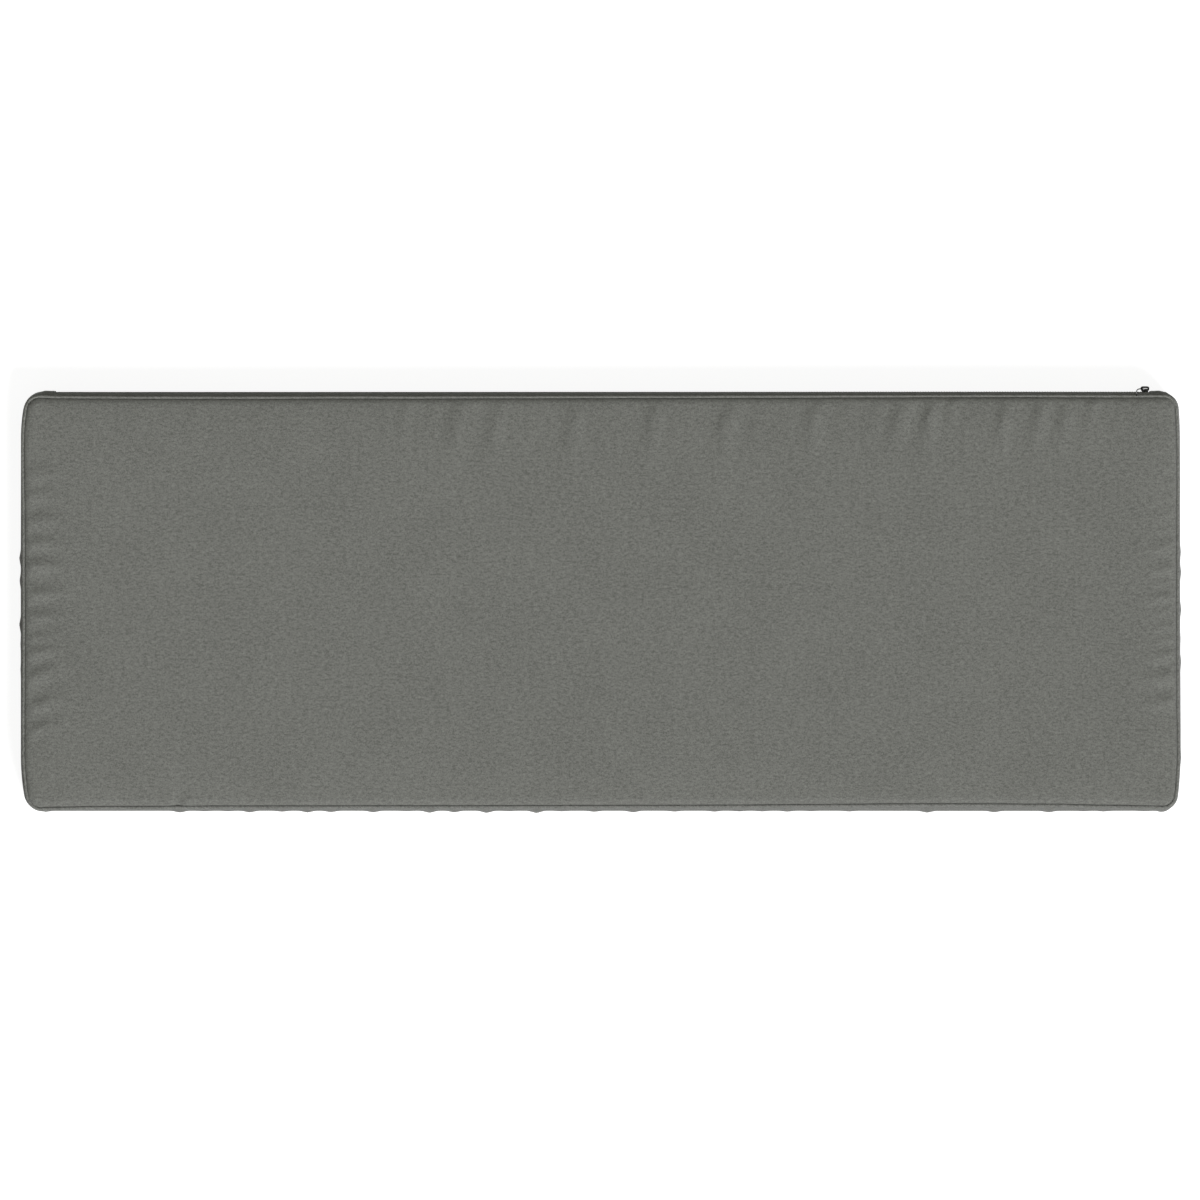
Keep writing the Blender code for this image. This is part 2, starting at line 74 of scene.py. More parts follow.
# -------- the outline, as in the CAD part
# How the ends draw in towards each corner, and the length along the end over which they do.
CORNER_TAPERS = (
    # end, long side, draw_in_mm, run_mm
    ("left", "back", 6.2, 51.0),
    ("right", "back", 2.9, 55.0),
    ("left", "front", 7.8, 66.0),
    ("right", "front", 5.4, 63.0),
)
TAPER_BLEND = 15.0 * MM

# How far the upper piping's outer line lies inside the outline, along each side.
UPPER_DRAW_IN = {
    # side: ((at_mm, inward_mm), ...)
    "front": (
        (-698.0, 0.2), (-693.0, -0.1), (-682.0, 0.0), (-664.0, 0.7), (-604.0, 1.7), (-423.0, 2.4),
        (-230.0, 2.5), (30.0, 3.0), (151.0, 3.3), (242.0, 4.0), (362.0, 4.9), (430.0, 5.0),
        (544.0, 4.5), (604.0, 3.3), (664.0, 2.4), (682.0, 1.9), (697.0, 0.9),
    ),
    "back": (
        (-700.0, -1.6), (-695.0, -1.2), (-682.0, -0.7), (-652.0, 0.0), (-616.0, 0.3), (-543.0, 0.5),
        (-483.0, 0.6), (-400.0, 0.6), (-320.0, 0.3), (-229.0, 0.4), (-139.0, 0.1), (72.0, -0.3),
        (193.0, -0.6), (315.0, -1.0), (430.0, -1.3), (500.0, -1.4), (620.0, -1.0), (682.0, -1.2),
        (698.0, -1.5),
    ),
    "left": (
        (-250.0, 0.2), (-247.0, 0.6), (-243.0, 1.4), (-215.0, 1.8), (-178.0, 1.3), (-142.0, 1.3),
        (-105.0, 1.6), (-33.0, 1.8), (39.0, 1.6), (112.0, 1.5), (148.0, 0.9), (184.0, 0.5),
        (208.0, 1.0), (233.0, 1.3), (241.0, 0.6), (246.0, 0.0), (250.0, -0.8),
    ),
    "right": (
        (-215.0, 0.4), (-178.0, -0.2), (-105.0, 0.6), (-33.0, 0.9), (75.0, 0.7), (112.0, 0.7),
        (148.0, 0.3), (184.0, 0.5), (210.0, 1.2), (233.0, 1.2), (241.0, 0.4), (246.0, -0.5),
        (250.0, -1.0),
    ),
}
LOWER_DRAW_IN = {
    "front": ((-650.0, 0.4), (-300.0, 0.0), (250.0, 0.3), (430.0, 0.9), (650.0, 0.2)),
    "back": ((-650.0, 0.6), (-100.0, 1.0), (400.0, 0.7), (620.0, 0.5)),
    "left": ((-215.0, 0.4), (0.0, 0.0), (215.0, 0.4)),
    "right": ((-215.0, 1.6), (0.0, 1.2), (215.0, 1.6)),
}

# Outer face of the boxing at mid height: how far it stands out past the outline between its creases.
BOXING_REACH = {
    "front": (
        (-695.0, 0.5), (-687.0, 0.7), (-682.0, 0.8), (-660.0, 0.3), (-400.0, 0.1), (0.0, 0.1),
        (290.0, 0.0), (420.0, 0.2), (660.0, 0.1), (674.0, 0.3), (682.0, 0.9), (688.0, 1.2),
        (693.0, 0.7),
    ),
    "back": (
        (-696.0, 3.7), (-690.0, 3.7), (-685.0, 4.2), (-680.0, 5.0), (-672.0, 5.9), (-655.0, 5.4),
        (660.0, 5.4), (676.0, 5.9), (685.0, 4.5), (688.0, 3.5), (691.0, 3.0),
    ),
    "left": ((-246.0, -0.2), (-233.0, -0.1), (-215.0, 0.0), (0.0, 0.1), (215.0, -0.1)),
    "right": (
        (-215.0, 0.4), (-170.0, 0.9), (0.0, 0.3), (215.0, 0.1), (236.0, 0.2), (241.0, 0.6),
        (245.0, 0.9),
    ),
}
BOXING_CREASES = {
    # side: ((at_mm, out_mm), ...)
    "front": (
        (-671.0, 1.1), (-508.0, 2.1), (-478.0, 0.6), (-450.0, 0.6), (-424.0, 2.0), (-385.0, 1.1),
        (-354.0, 2.1), (-326.0, 1.7), (-275.0, 1.9), (-234.0, 0.5), (-206.0, 2.5), (-177.0, 1.9),
        (-138.0, 2.6), (-110.0, 0.5), (-77.0, 2.8), (-47.0, 0.7), (-8.0, 1.2), (40.0, 1.9),
        (89.0, 1.0), (138.0, 1.1), (167.0, 0.8), (196.0, 0.8), (225.0, 1.1), (255.0, 0.5),
        (301.0, 0.9), (395.0, 2.1), (475.0, 1.7), (542.0, 1.8), (583.0, 0.5), (608.0, 0.8),
        (656.0, 0.6), (682.0, 0.6),
    ),
    "back": (),
    "left": ((-80.0, 0.4), (-50.0, 0.4), (-26.0, 1.8), (27.0, 1.4), (54.0, 1.8)),
    "right": (
        (-187.0, 0.7), (-71.0, 1.0), (-43.0, 0.4), (-8.0, 1.3), (37.0, 1.2), (62.0, 0.9),
    ),
}
CREASE_HALF_WIDTH = 12.5 * MM
CREASE_LEAN = 7.0 * MM  # most that a crease wanders along the strip over its height

# -------- the panels
# Soft ridges that run in from the seam: where each starts along the side, its half width, strength, lean and
# share of the side's reach. A negative strength makes a valley.
PUCKERS = {
    # side: ((at_mm, half_width_mm, strength, lean, reach_share), ...)
    "back": (
        (-558.0, 9.0, 1.2, -0.06, 0.8), (-489.0, 9.0, 1.2, -0.06, 0.9), (-403.0, 8.0, 1.3, -0.06, 0.8),
        (-355.0, 8.0, 1.2, -0.06, 0.7), (-257.0, 5.0, 2.6, -0.06, 0.8), (-236.0, 6.0, 3.3, -0.06, 0.8),
        (-199.0, 7.0, 1.7, -0.06, 0.7), (-171.0, 7.9, 5.0, -0.06, 1.0), (-124.0, 6.6, 5.3, -0.06, 1.1),
        (-30.0, 7.3, 5.3, -0.06, 1.1), (68.0, 7.3, 4.9, -0.1, 1.0), (157.0, 8.5, 5.1, -0.1, 1.0),
        (191.0, 8.0, 1.3, -0.06, 0.8), (260.0, 7.3, 5.9, -0.06, 0.9), (298.0, 6.0, 1.5, -0.06, 0.7),
        (335.0, 6.0, 2.0, -0.06, 0.7), (364.0, 7.3, 5.2, -0.12, 0.9), (400.0, 6.0, 10.0, -0.08, 0.9),
        (426.0, 5.0, 4.8, 0.0, 0.40), (488.0, 5.5, 7.6, -0.05, 0.9), (531.0, 5.4, 7.8, -0.06, 0.9),
        (563.0, 5.4, 7.5, -0.06, 1.0), (594.0, 5.4, 5.2, 0.0, 0.48),
    ),
    "left": (
        (155.0, 7.6, 4.4, 0.0, 0.9), (129.0, 7.4, 5.3, 0.0, 0.9), (99.0, 6.6, 5.9, 0.0, 1.0),
        (72.0, 6.0, 7.0, 0.0, 1.0), (45.0, 6.2, 8.0, 0.0, 1.0), (9.0, 5.5, 7.5, 0.05, 1.1),
        (-17.0, 5.4, 6.6, 0.05, 1.0), (-44.0, 4.5, 5.6, 0.1, 0.9), (-63.0, 5.8, 7.0, 0.12, 1.0),
        (-94.0, 6.8, 5.8, 0.3, 1.0), (-127.0, 6.0, 5.9, 0.2, 1.1), (-158.0, 5.5, 5.2, 0.25, 1.0),
    ),
    "right": (
        (167.0, 3.8, 2.6, -0.15, 0.7), (146.0, 4.2, 2.0, -0.15, 0.7), (129.0, 4.8, 1.4, -0.15, 0.7),
        (110.0, 5.8, 2.3, -0.15, 0.7), (91.0, 4.2, 2.6, -0.15, 0.8), (71.0, 6.0, 4.2, -0.2, 1.0),
        (43.0, 5.1, 4.7, -0.1, 0.9), (27.0, 3.9, 4.0, -0.15, 0.9), (10.0, 4.2, 6.6, -0.15, 1.1),
        (-8.0, 4.5, 3.3, -0.15, 0.9), (-25.0, 4.2, 4.3, -0.2, 1.1), (-42.0, 3.9, 5.6, -0.15, 0.9),
        (-61.0, 5.4, 5.3, -0.15, 1.0), (-87.0, 6.9, 5.8, -0.15, 1.1), (-115.0, 7.2, 4.6, -0.15, 1.1),
    ),
    "front": ((-510.5, 4.8, -10.0, 0.05, 0.55),),
}
PUCKER_HEIGHT = 0.120  # of a ridge for each unit of strength, as a share of its half width
PUCKER_WANDER = 1.0 * MM  # most that a ridge bends aside
PUCKER_WANDER_RUN = 14 * MM
VALLEY_SHARE = 0.4  # depth of the valley that a ridge stands in, against the ridge's height
VALLEY_SPREAD = 2.4  # and its width, against the ridge's
PUCKER_START = {"back": 19.0 * MM, "left": 14.5 * MM, "right": 11.4 * MM, "front": 12.0 * MM}
PUCKER_REACH = {"back": 68.0 * MM, "left": 39.5 * MM, "right": 33.0 * MM, "front": 36.0 * MM}
PANEL_START = 1.9 * MM  # the panel comes up against the cord this far inside the cord's middle
SEAM_EDGE = {
    # side: (start_mm above the cord's middle, rise_mm out of the groove, run_mm of the rounded edge)
    "front": (0.2, 1.1, 6.0), "back": (2.1, 0.3, 5.0), "left": (2.3, 0.6, 4.8), "right": (0.2, 1.8, 5.5),
}
USUAL_EDGE = (1.0 * MM, 1.9 * MM, 5.0 * MM)  # the same in metres, for laying out the flat cloth
SEAM_EDGE_RISE = 6.0 * MM  # height gained over the whole seam edge
GROOVE_RUN = 0.7 * MM
CROWN_RISE = 1.7 * MM  # height gained from there to the middle
UNEVENNESS = 0.16 * MM  # of the filling, under the cloth
FILLING_LUMPS = (
    # waves per metre along X and Y, layer of the noise, share
    (9.0, 14.0, 3.0, 1.0), (31.0, 31.0, 7.0, 0.6),
)
FILLING_RISE = 3  # the lumps grow to their height this many times as fast as the crown
PANEL_EDGE = 62.0 * MM  # the fine rings reach in this far, and a coarser grid lies inside
GRID_GAP = 9 * MM  # between the last ring and the grid
PANEL_RINGS = 22
UNDERSIDE_RINGS = 12
COARSENING = 4  # steps of the fine rings for each one of the grid
FADE_START = 5.0 * MM  # the outline's unevenness dies out between here and PANEL_EDGE
UNDERSIDE_ROLL = 3.5 * MM  # run over which the underside's edge rolls up to the seam
UNDERSIDE_FLAT = 24 * MM  # and where it has come down flat
WALL_INSET = 1.2 * MM  # of the hidden side wall's lowest and highest ring
WALL_TURN = 2.7 * MM  # from the seam's height to that ring
WALL_BULGE = 0.35  # share of the boxing's reach that the wall behind it follows
WALL_PLACES = (0.0, -28 * MM, -4 * MM)  # of its three rings on the flat cloth, inside the outline

# -------- the panel's cloth, as it settles
SETTLING_PRESSURE = 4.0
SETTLING_FRAMES = 20
SETTLING_QUALITY = 5
PANEL_MASS = 0.3  # of each point
STRETCH_STIFFNESS = 30.0
SHEAR_STIFFNESS = 8.0
BENDING_STIFFNESS = 1.0
SETTLING_CAP = 1.5 * MM  # most that a point may move
HOLD = ((3.0 * MM, 1.0), (7.0 * MM, 0.6), (14.0 * MM, 0.15), (62.0 * MM, 0.10))  # inside the seam, hold

# -------- spacing of the meshes
PAD_STEP = 3.0 * MM
FINE_STEP = 2.5 * MM
ARC_STEPS = 10
SMALLEST_INNER_RADIUS = 3.0 * MM

# -------- cloth and piping
THREAD_PITCH = 0.95 * MM
BOXING_ROWS = 17
BOXING_HEIGHT = UPPER_SEAM_Z - LOWER_SEAM_Z - 2 * (PIPING_RADIUS + GAP)
PIPING_SIDES = 16
PIPING_WAVER = 0.18 * MM  # aside, as the strip is guided by hand
PIPING_UNEVENNESS = 0.03  # of its thickness
PIPING_TIGHTNESS = 0.02  # share of the radius that the tight strip takes off

# -------- zip
TOOTH_PITCH = 1.35 * MM  # of the teeth on one side
TOOTH_SECTIONS = (
    # up from the zip's line, width and depth of the section as shares of the tooth's
    (-0.75, 0.55, 0.70), (-0.35, 1.00, 1.00), (0.40, 0.90, 0.98), (1.90, 0.80, 0.94), (2.55, 0.85, 0.90),
    (2.90, 0.45, 0.60),
)
TOOTH_HALF_WIDTH = 0.42 * MM
TOOTH_HALF_DEPTH = 0.92 * MM
TOOTH_SLANT = 0.10  # a coil's legs lean along the zip
CHAIN_END_GAPS = (1.0 * MM, 1.2 * MM)  # from the zip's left end and the chain's right end to the teeth
BAR_SIDES = 6  # of a tooth's and a stitch's section
TAPE_SHOWING = 4.2 * MM
FOLD_EDGE = CHAIN_HEIGHT / 2 + GAP + TAPE_SHOWING  # of the strips, from the zip's line
TAPE_HIDDEN = 5.0 * MM
TAPE_INNER_EDGE = 1.7 * MM  # the tape runs in behind the teeth up to here from the zip's line
STRIP_BACK = 0.6 * MM  # the zip's cloth strips lie this far behind the boxing's line
FOLD_BACK = 0.3 * MM  # and their folded edges, sewn down on the tape, a little further
FOLD_RUN = 4.0 * MM
FOLD_WAVER = 0.25  # mm
FOLD_ROWS = (0.0, 0.006, 0.02)  # rows past the folded edge, as shares of the boxing's height
FOLD_ROUNDING = (0.35 * MM, 0.08 * MM)  # how far the first two of them lie back
STRIP_START = 0.05  # share past the folded edge where the even rows start
STRIP_ROWS = 9
STRIP_THINNING = 0.05 * MM
TAPE_ROWS = 7
ZIP_STEP = 8 * MM
BOXING_LAP = 1.6 * MM  # the boxing's ends lap over the strips' ends
HEM_THICKNESS = 0.5 * MM  # what the turned-in end adds to the boxing's thickness
HEM_RUN = 9.0 * MM
STITCH_PITCH = 3.2 * MM
STITCH_LENGTH = 2.6 * MM
STITCH_INSET = 2.4 * MM  # from the folded edge
STITCH_ARCH = (-0.35, 0.10, 0.30, 0.30, 0.10, -0.35)  # out of the cloth along a stitch, in mm
THREAD_RADIUS = 0.26 * MM
SEAM_ROW_GAP = 4 * MM  # from the ends of the zip to the rows along it
END_ROW_GAP = 1.6 * MM  # from the ends of the zip out to the rows up the boxing's ends
PULL_GROWTH = 0.2 * MM  # the shown pull is this much stouter all round than its CAD solid
SAME_POINT = 0.001 * MM

# -------- studio
DOME_LIGHT = 0.31  # a soft dome, brightest overhead and dark at the horizon
FLOOR_HALF_SIDE = 60.0
FLOOR_DROP = 0.05 * MM
FLOOR_GLOW = 0.87
LAMPS = (
    # name, direction towards it, strength, angle it spreads over in degrees, colour
    ("key", (0.50, -0.80, 1.0), 3.10, 24.0, (1.0, 1.0, 1.0)),
    ("back_fill", (-0.45, 0.9, 0.22), 0.15, 40.0, (1.0, 1.0, 0.35)),
)

# -------- the photograph's view
PHOTO_SIDE_PX = 1200
METRES_PER_PX = 1.2078 * MM
VIEW_CENTRE = (-0.48 * MM, -0.57 * MM)
LENS_MM = 1400.0  # far away and long, as the photograph shows hardly any perspective
SENSOR_MM = 36.0


# ======== outline
def table_value(rows, at):
    """A table's values at places given in metres, smoothed between its rows; the results are in metres."""
    places = np.array([row[0] for row in rows]) * MM
    values = np.array([row[1] for row in rows]) * MM
    k = np.clip(np.searchsorted(places, at) - 1, 0, len(places) - 2)
    t = np.clip((at - places[k]) / (places[k + 1] - places[k]), 0.0, 1.0)
    return values[k] + (values[k + 1] - values[k]) * t * t * (3 - 2 * t)


class Outline:
    """Places along the cushion's outline: their shares of the sides' lengths and their outward directions."""

    def __init__(self, shares, angles):
        self.share = np.array(shares, float)
        self.out = np.stack((np.cos(angles), np.sin(angles)), axis=1)
        self.base = self.inset(0.0)

    def inset(self, distance):
        """Points of the plain rounded rectangle that lies this far inside the outline."""
        radius = max(CORNER_RADIUS - distance, SMALLEST_INNER_RADIUS)
        reach = np.array((HALF_LENGTH, HALF_DEPTH)) - distance - radius
        return self.share * reach + radius * self.out

    def mix(self, values):
        """Values for the four sides, mixed by how squarely a place faces each."""
        x_out, y_out = self.out.T
        at_end = np.where(x_out > 0, values["right"], values["left"])
        at_long = np.where(y_out > 0, values["back"], values["front"])
        return at_end * x_out ** 2 + at_long * y_out ** 2

    def blend(self, table):
        """A table's values here."""
        x, y = self.base.T
        return self.mix({side: table_value(rows, y if side in ("left", "right") else x)
                         for side, rows in table.items()})

    def taper(self):
        """How far the ends draw in, along X."""
        x, y = self.base.T
        near = np.clip((abs(x) - (HALF_LENGTH - CORNER_RADIUS - TAPER_BLEND)) / TAPER_BLEND, 0.0, 1.0)
        weight = near * near * (3 - 2 * near)
        total = np.zeros(len(x))
        for end, long_side, draw_in, run in CORNER_TAPERS:
            here = ((x > 0) == (end == "right")) & ((y > 0) == (long_side == "back"))
            along = np.maximum((abs(y) - (HALF_DEPTH - run * MM)) / (run * MM), 0.0)
            total -= here * np.sign(x) * draw_in * MM * along ** 2 * weight
        return total

    def creases(self, height_share):
        """How far the boxing's creases stand out here, at a share of the strip's height."""
        x, y = self.base.T
        facing_end = abs(self.out[:, 0]) > abs(self.out[:, 1])
        total = np.zeros(len(x))
        for side, rows in BOXING_CREASES.items():
            on_end = side in ("left", "right")
            sign = self.out[:, 0 if on_end else 1] > 0
            here = (facing_end == on_end) & (sign == (side in ("right", "back")))
            at = y if on_end else x
            for k, (place, height) in enumerate(rows):
                lean = CREASE_LEAN * math.sin(5.1 * k + place) * (height_share - 0.5)
                t = np.clip(abs(at - place * MM - lean) / CREASE_HALF_WIDTH, 0.0, 1.0)
                total += here * height * MM * (1 - t) ** 2 * (1 + t)
        return total

    def line(self, outward, inside=0.0, fade=1.0):
        """Plan points this far inside the outline, moved outward by a rail's own amount and by the taper."""
        points = self.inset(inside) + fade * self.out * np.reshape(outward, (-1, 1))
        points[:, 0] += fade * self.taper()
        points[:, 1] += FRAME_SHIFT_Y
        return points

    def part(self, keep):
        """The places that a mask or an order picks."""
        angles = np.arctan2(self.out[:, 1], self.out[:, 0])
        return Outline(self.share[keep], angles[keep])


def whole_outline(step):
    """Places all the way round, anticlockwise seen from above, from the front-left corner.

    Each corner is an arc of ARC_STEPS, and four divides the number of steps on each side.
    """
    shares, angles = [], []
    corners = ((-1, -1), (1, -1), (1, 1), (-1, 1))
    for k, corner in enumerate(corners):
        start = (2 + k) * math.pi / 2
        after = corners[(k + 1) % 4]
        length = (LENGTH if k % 2 == 0 else DEPTH) - 2 * CORNER_RADIUS
        count = 4 * round(length / step / 4)
        for turn in np.linspace(0.0, math.pi / 2, ARC_STEPS + 1):
            shares.append(corner)
            angles.append(start + turn)
        for t in np.arange(1, count) / count:
            shares.append(tuple(a + (b - a) * t for a, b in zip(corner, after)))
            angles.append(start + math.pi / 2)
    return Outline(shares, np.array(angles))


def back_outline(places):
    """Places on the straight back side at these X."""
    shares = np.stack((places / (HALF_LENGTH - CORNER_RADIUS), np.ones(len(places))), axis=1)
    return Outline(shares, np.full(len(places), math.pi / 2))


def uneven(places, waves, row, layer=0.0):
    """Soft noise along a line, with this many waves for each metre."""
    return np.array([noise.noise((place * waves, row, layer)) for place in places])


def run_length(points):
    """Distance along a path at each of its points."""
    steps = np.linalg.norm(np.diff(points, axis=0), axis=1)
    return np.concatenate(((0.0,), np.cumsum(steps)))


# ======== meshes
def add_object(name, verts, faces, cloth_places=None, smooth_angle=None):
    """Object from points and faces. cloth_places says where each face corner lies on the flat cloth."""
    mesh = bpy.data.meshes.new(name)
    mesh.from_pydata([tuple(v) for v in verts], [], faces)
    if cloth_places is not None:
        layer = mesh.attributes.new("cloth", "FLOAT_VECTOR", "CORNER")
        layer.data.foreach_set("vector", np.asarray(cloth_places, np.float32).ravel())
    mesh.shade_smooth()
    if smooth_angle is not None:
        mesh.set_sharp_from_angle(angle=math.radians(smooth_angle))
    obj = bpy.data.objects.new(name, mesh)
    bpy.context.scene.collection.objects.link(obj)
    return obj


def grid_faces(rows, columns, closed_rows, closed_columns):
    """Rows and columns of the corners of a grid's quads. A closed way runs one step past its end."""
    i, j = np.meshgrid(
        np.arange(rows if closed_rows else rows - 1),
        np.arange(columns if closed_columns else columns - 1), indexing="ij",
    )
    i, j = i.ravel(), j.ravel()
    return np.stack((i, i + 1, i + 1, i), axis=1), np.stack((j, j, j + 1, j + 1), axis=1)


def swept(name, sections, along, around, closed, smooth_angle=None):
    """Bar through closed sections, an array (sections, points, 3), and its place on the cloth.

    along has a value for each section, and one more if the bar is closed. around has one more than a section.
    """
    rows, columns = sections.shape[:2]
    row, column = grid_faces(rows, columns, closed, True)
    faces = ((row % rows) * columns + column % columns).tolist()
    places = [(along[r], around[c], 0.0) for r, c in zip(row.ravel(), column.ravel())]
    if not closed:
        for end, order in ((0, range(columns)), (rows - 1, range(columns - 1, -1, -1))):
            faces.append([end * columns + c for c in order])
            places += [(along[end], around[c], 0.0) for c in order]
    return add_object(name, sections.reshape(-1, 3), faces, places, smooth_angle)


def face_out(obj):
    """Turns a closed mesh's faces outward."""
    mesh = obj.data
    corners = np.array([v.co for v in mesh.vertices])
    mesh.calc_loop_triangles()
    tris = np.array([t.vertices for t in mesh.loop_triangles])
    a, b, c = (corners[tris[:, k]] for k in range(3))
    if np.einsum("ij,ij->i", a, np.cross(b, c)).sum() < 0:
        mesh.flip_normals()
    return obj


def ring_tube(path, radius, sides):
    """Sections of a round closed tube whose path lies nearly level: an array (points, sides, 3)."""
    ahead = np.roll(path, -1, axis=0) - np.roll(path, 1, axis=0)
    ahead /= np.linalg.norm(ahead, axis=1, keepdims=True)
    side = np.cross(ahead, (0.0, 0.0, 1.0))
    side /= np.linalg.norm(side, axis=1, keepdims=True)
    up = np.cross(side, ahead)
    turns = np.linspace(0.0, 2 * math.pi, sides, endpoint=False)
    radius = np.broadcast_to(np.reshape(radius, (-1, 1)), (len(path), sides))[..., None]
    return path[:, None, :] + radius * (
        np.cos(turns)[None, :, None] * side[:, None, :] + np.sin(turns)[None, :, None] * up[:, None, :]
    )


# ======== materials
class Nodes:
    """A small helper that adds and links shader nodes."""

    def __init__(self, name):
        self.material = bpy.data.materials.new(name)
        self.material.use_nodes = True
        self.tree = self.material.node_tree
        self.shader = self.tree.nodes["Principled BSDF"]

    def put(self, socket, value):
        if isinstance(value, bpy.types.NodeSocket):
            self.tree.links.new(value, socket)
        elif value is not None:
            socket.default_value = value

    def add(self, kind, settings=(), **inputs):
        node = self.tree.nodes.new(kind)
        for key, value in dict(settings).items():
            setattr(node, key, value)
        for key, value in inputs.items():
            self.put(node.inputs[key.replace("_", " ")], value)
        return node

    def math(self, operation, a, b=None, c=None):
        node = self.add("ShaderNodeMath", {"operation": operation})
        for socket, value in zip(node.inputs, (a, b, c)):
            self.put(socket, value)
        return node.outputs[0]

    def place(self, on_cloth=False):
        """Where a point lies: on the flat cloth, or in the object."""
        if on_cloth:
            return self.add("ShaderNodeAttribute", {"attribute_name": "cloth"}).outputs["Vector"]
        return self.add("ShaderNodeTexCoord").outputs["Object"]

    def noise(self, vector, scale, detail=2.0, roughness=0.5):
        node = self.add("ShaderNodeTexNoise", Vector=vector, Scale=scale, Detail=detail, Roughness=roughness)
        return node.outputs["Fac"]

    def vector(self, x, y, z=0.0):
        return self.add("ShaderNodeCombineXYZ", X=x, Y=y, Z=z).outputs[0]

    def ramp(self, factor, *stops):
        node = self.add("ShaderNodeValToRGB", Fac=factor)
        elements = node.color_ramp.elements
        while len(elements) < len(stops):
            elements.new(0.5)
        for element, (position, colour) in zip(elements, stops):
            element.position = position
            element.color = (*colour, 1.0)
        return node.outputs["Color"]

    def finish(self, colour, roughness, height, bump, **fixed):
        self.put(self.shader.inputs["Base Color"], colour)
        self.put(self.shader.inputs["Roughness"], roughness)
        if height is not None:
            node = self.add("ShaderNodeBump", Height=height, Strength=1.0, Distance=bump)
            self.put(self.shader.inputs["Normal"], node.outputs["Normal"])
        for key, value in fixed.items():
            self.shader.inputs[key.replace("_", " ")].default_value = value
        return self.material


def woven(name, dark, light, turn=0.0):
    """Plain-woven melange cloth: single threads that change tone along their length, over and under."""
    n = Nodes(name)
    place = n.place(on_cloth=True)
    turned = n.add("ShaderNodeMapping", Vector=place, Rotation=(0.0, 0.0, turn)).outputs[0]
    scaled = n.add("ShaderNodeVectorMath", {"operation": "SCALE"}, Vector=turned, Scale=1 / THREAD_PITCH)
    split = n.add("ShaderNodeSeparateXYZ", Vector=scaled.outputs[0])
    x, y = split.outputs["X"], split.outputs["Y"]
    column, row = n.math("FLOOR", x), n.math("FLOOR", y)
    # A thread's tone: its own along the thread, and another for each thread beside it.
    warp = n.noise(n.vector(n.math("MULTIPLY", column, 3.71), n.math("MULTIPLY", y, 0.42)), 1.0, 1.0)
    weft = n.noise(n.vector(n.math("MULTIPLY", x, 0.30), n.math("MULTIPLY", row, 2.93), 9.0), 1.0, 1.0)
    over = n.math("PINGPONG", n.math("ADD", column, row), 1.0)
    warp_tone = n.math("MULTIPLY_ADD", n.math("SUBTRACT", warp, 0.5), 1.0, 0.5)
    weft_tone = n.math("MULTIPLY_ADD", n.math("SUBTRACT", weft, 0.5), 1.5, 0.5)
    tone = n.math("ADD", n.math("MULTIPLY", warp_tone, over),
                  n.math("MULTIPLY", weft_tone, n.math("SUBTRACT", 1.0, over)))
    fleck = n.noise(turned, 420.0, 2.0, 0.6)
    slub = n.noise(n.add("ShaderNodeMapping", Vector=turned, Scale=(150.0, 330.0, 1.0)).outputs[0], 1.0, 1.0)
    cloud = n.noise(turned, 12.0, 3.0)
    mixed = n.math("MULTIPLY_ADD", n.math("SUBTRACT", tone, 0.5), 1.2, 0.5)
    for part, share in ((fleck, 0.8), (slub, 0.7), (cloud, 0.18)):
        mixed = n.math("MULTIPLY_ADD", n.math("SUBTRACT", part, 0.5), share, mixed)
    # Each crossing is a small pillow.
    pillow = n.math("MULTIPLY", *(
        n.math("ABSOLUTE", n.math("SINE", n.math("MULTIPLY", way, math.pi))) for way in (x, y)
    ))
    height = n.math("ADD", n.math("POWER", pillow, 0.6), n.math("MULTIPLY", fleck, 0.6))
    # The pillow term paints each crossing's top lighter and the dips between crossings darker: painted shade
    # of the weave.
    shade = n.math("MULTIPLY_ADD", pillow, 0.25, n.math("SUBTRACT", mixed, 0.10))
    return n.finish(n.ramp(shade, (0.15, dark), (0.85, light)), 0.92, height, 0.10 * MM, Sheen_Weight=0.25)


def tape_material():
    """Dark zip tape in a fine herringbone."""
    n = Nodes("zip_tape")
    place = n.place(on_cloth=True)
    split = n.add("ShaderNodeSeparateXYZ", Vector=place)
    x = n.math("MULTIPLY", split.outputs["X"], 1 / (0.9 * MM))
    y = n.math("MULTIPLY", split.outputs["Y"], 1 / (0.9 * MM))
    zigzag = n.math("PINGPONG", y, 2.0)
    twill = n.math("SINE", n.math("MULTIPLY", n.math("ADD", x, zigzag), 2 * math.pi))
    fleck = n.noise(place, 900.0, 2.0)
    shade = n.math("MULTIPLY_ADD", twill, 0.22, fleck)
    colour = n.ramp(shade, (0.2, (0.030, 0.031, 0.028)), (0.85, (0.085, 0.088, 0.080)))
    return n.finish(colour, 0.86, shade, 0.12 * MM, Sheen_Weight=0.05)


def coil_material():
    """Satin plastic coil with faint scuffs."""
    n = Nodes("zip_coil")
    place = n.place()
    scuff = n.noise(place, 900.0, 3.0, 0.6)
    cloud = n.noise(place, 35.0, 1.0)
    colour = n.ramp(n.math("MULTIPLY_ADD", scuff, 0.5, n.math("MULTIPLY", cloud, 0.5)),
                    (0.3, (0.026, 0.027, 0.025)), (0.75, (0.058, 0.060, 0.056)))
    roughness = n.math("MULTIPLY_ADD", scuff, 0.25, 0.32)
    return n.finish(colour, roughness, scuff, 0.02 * MM)


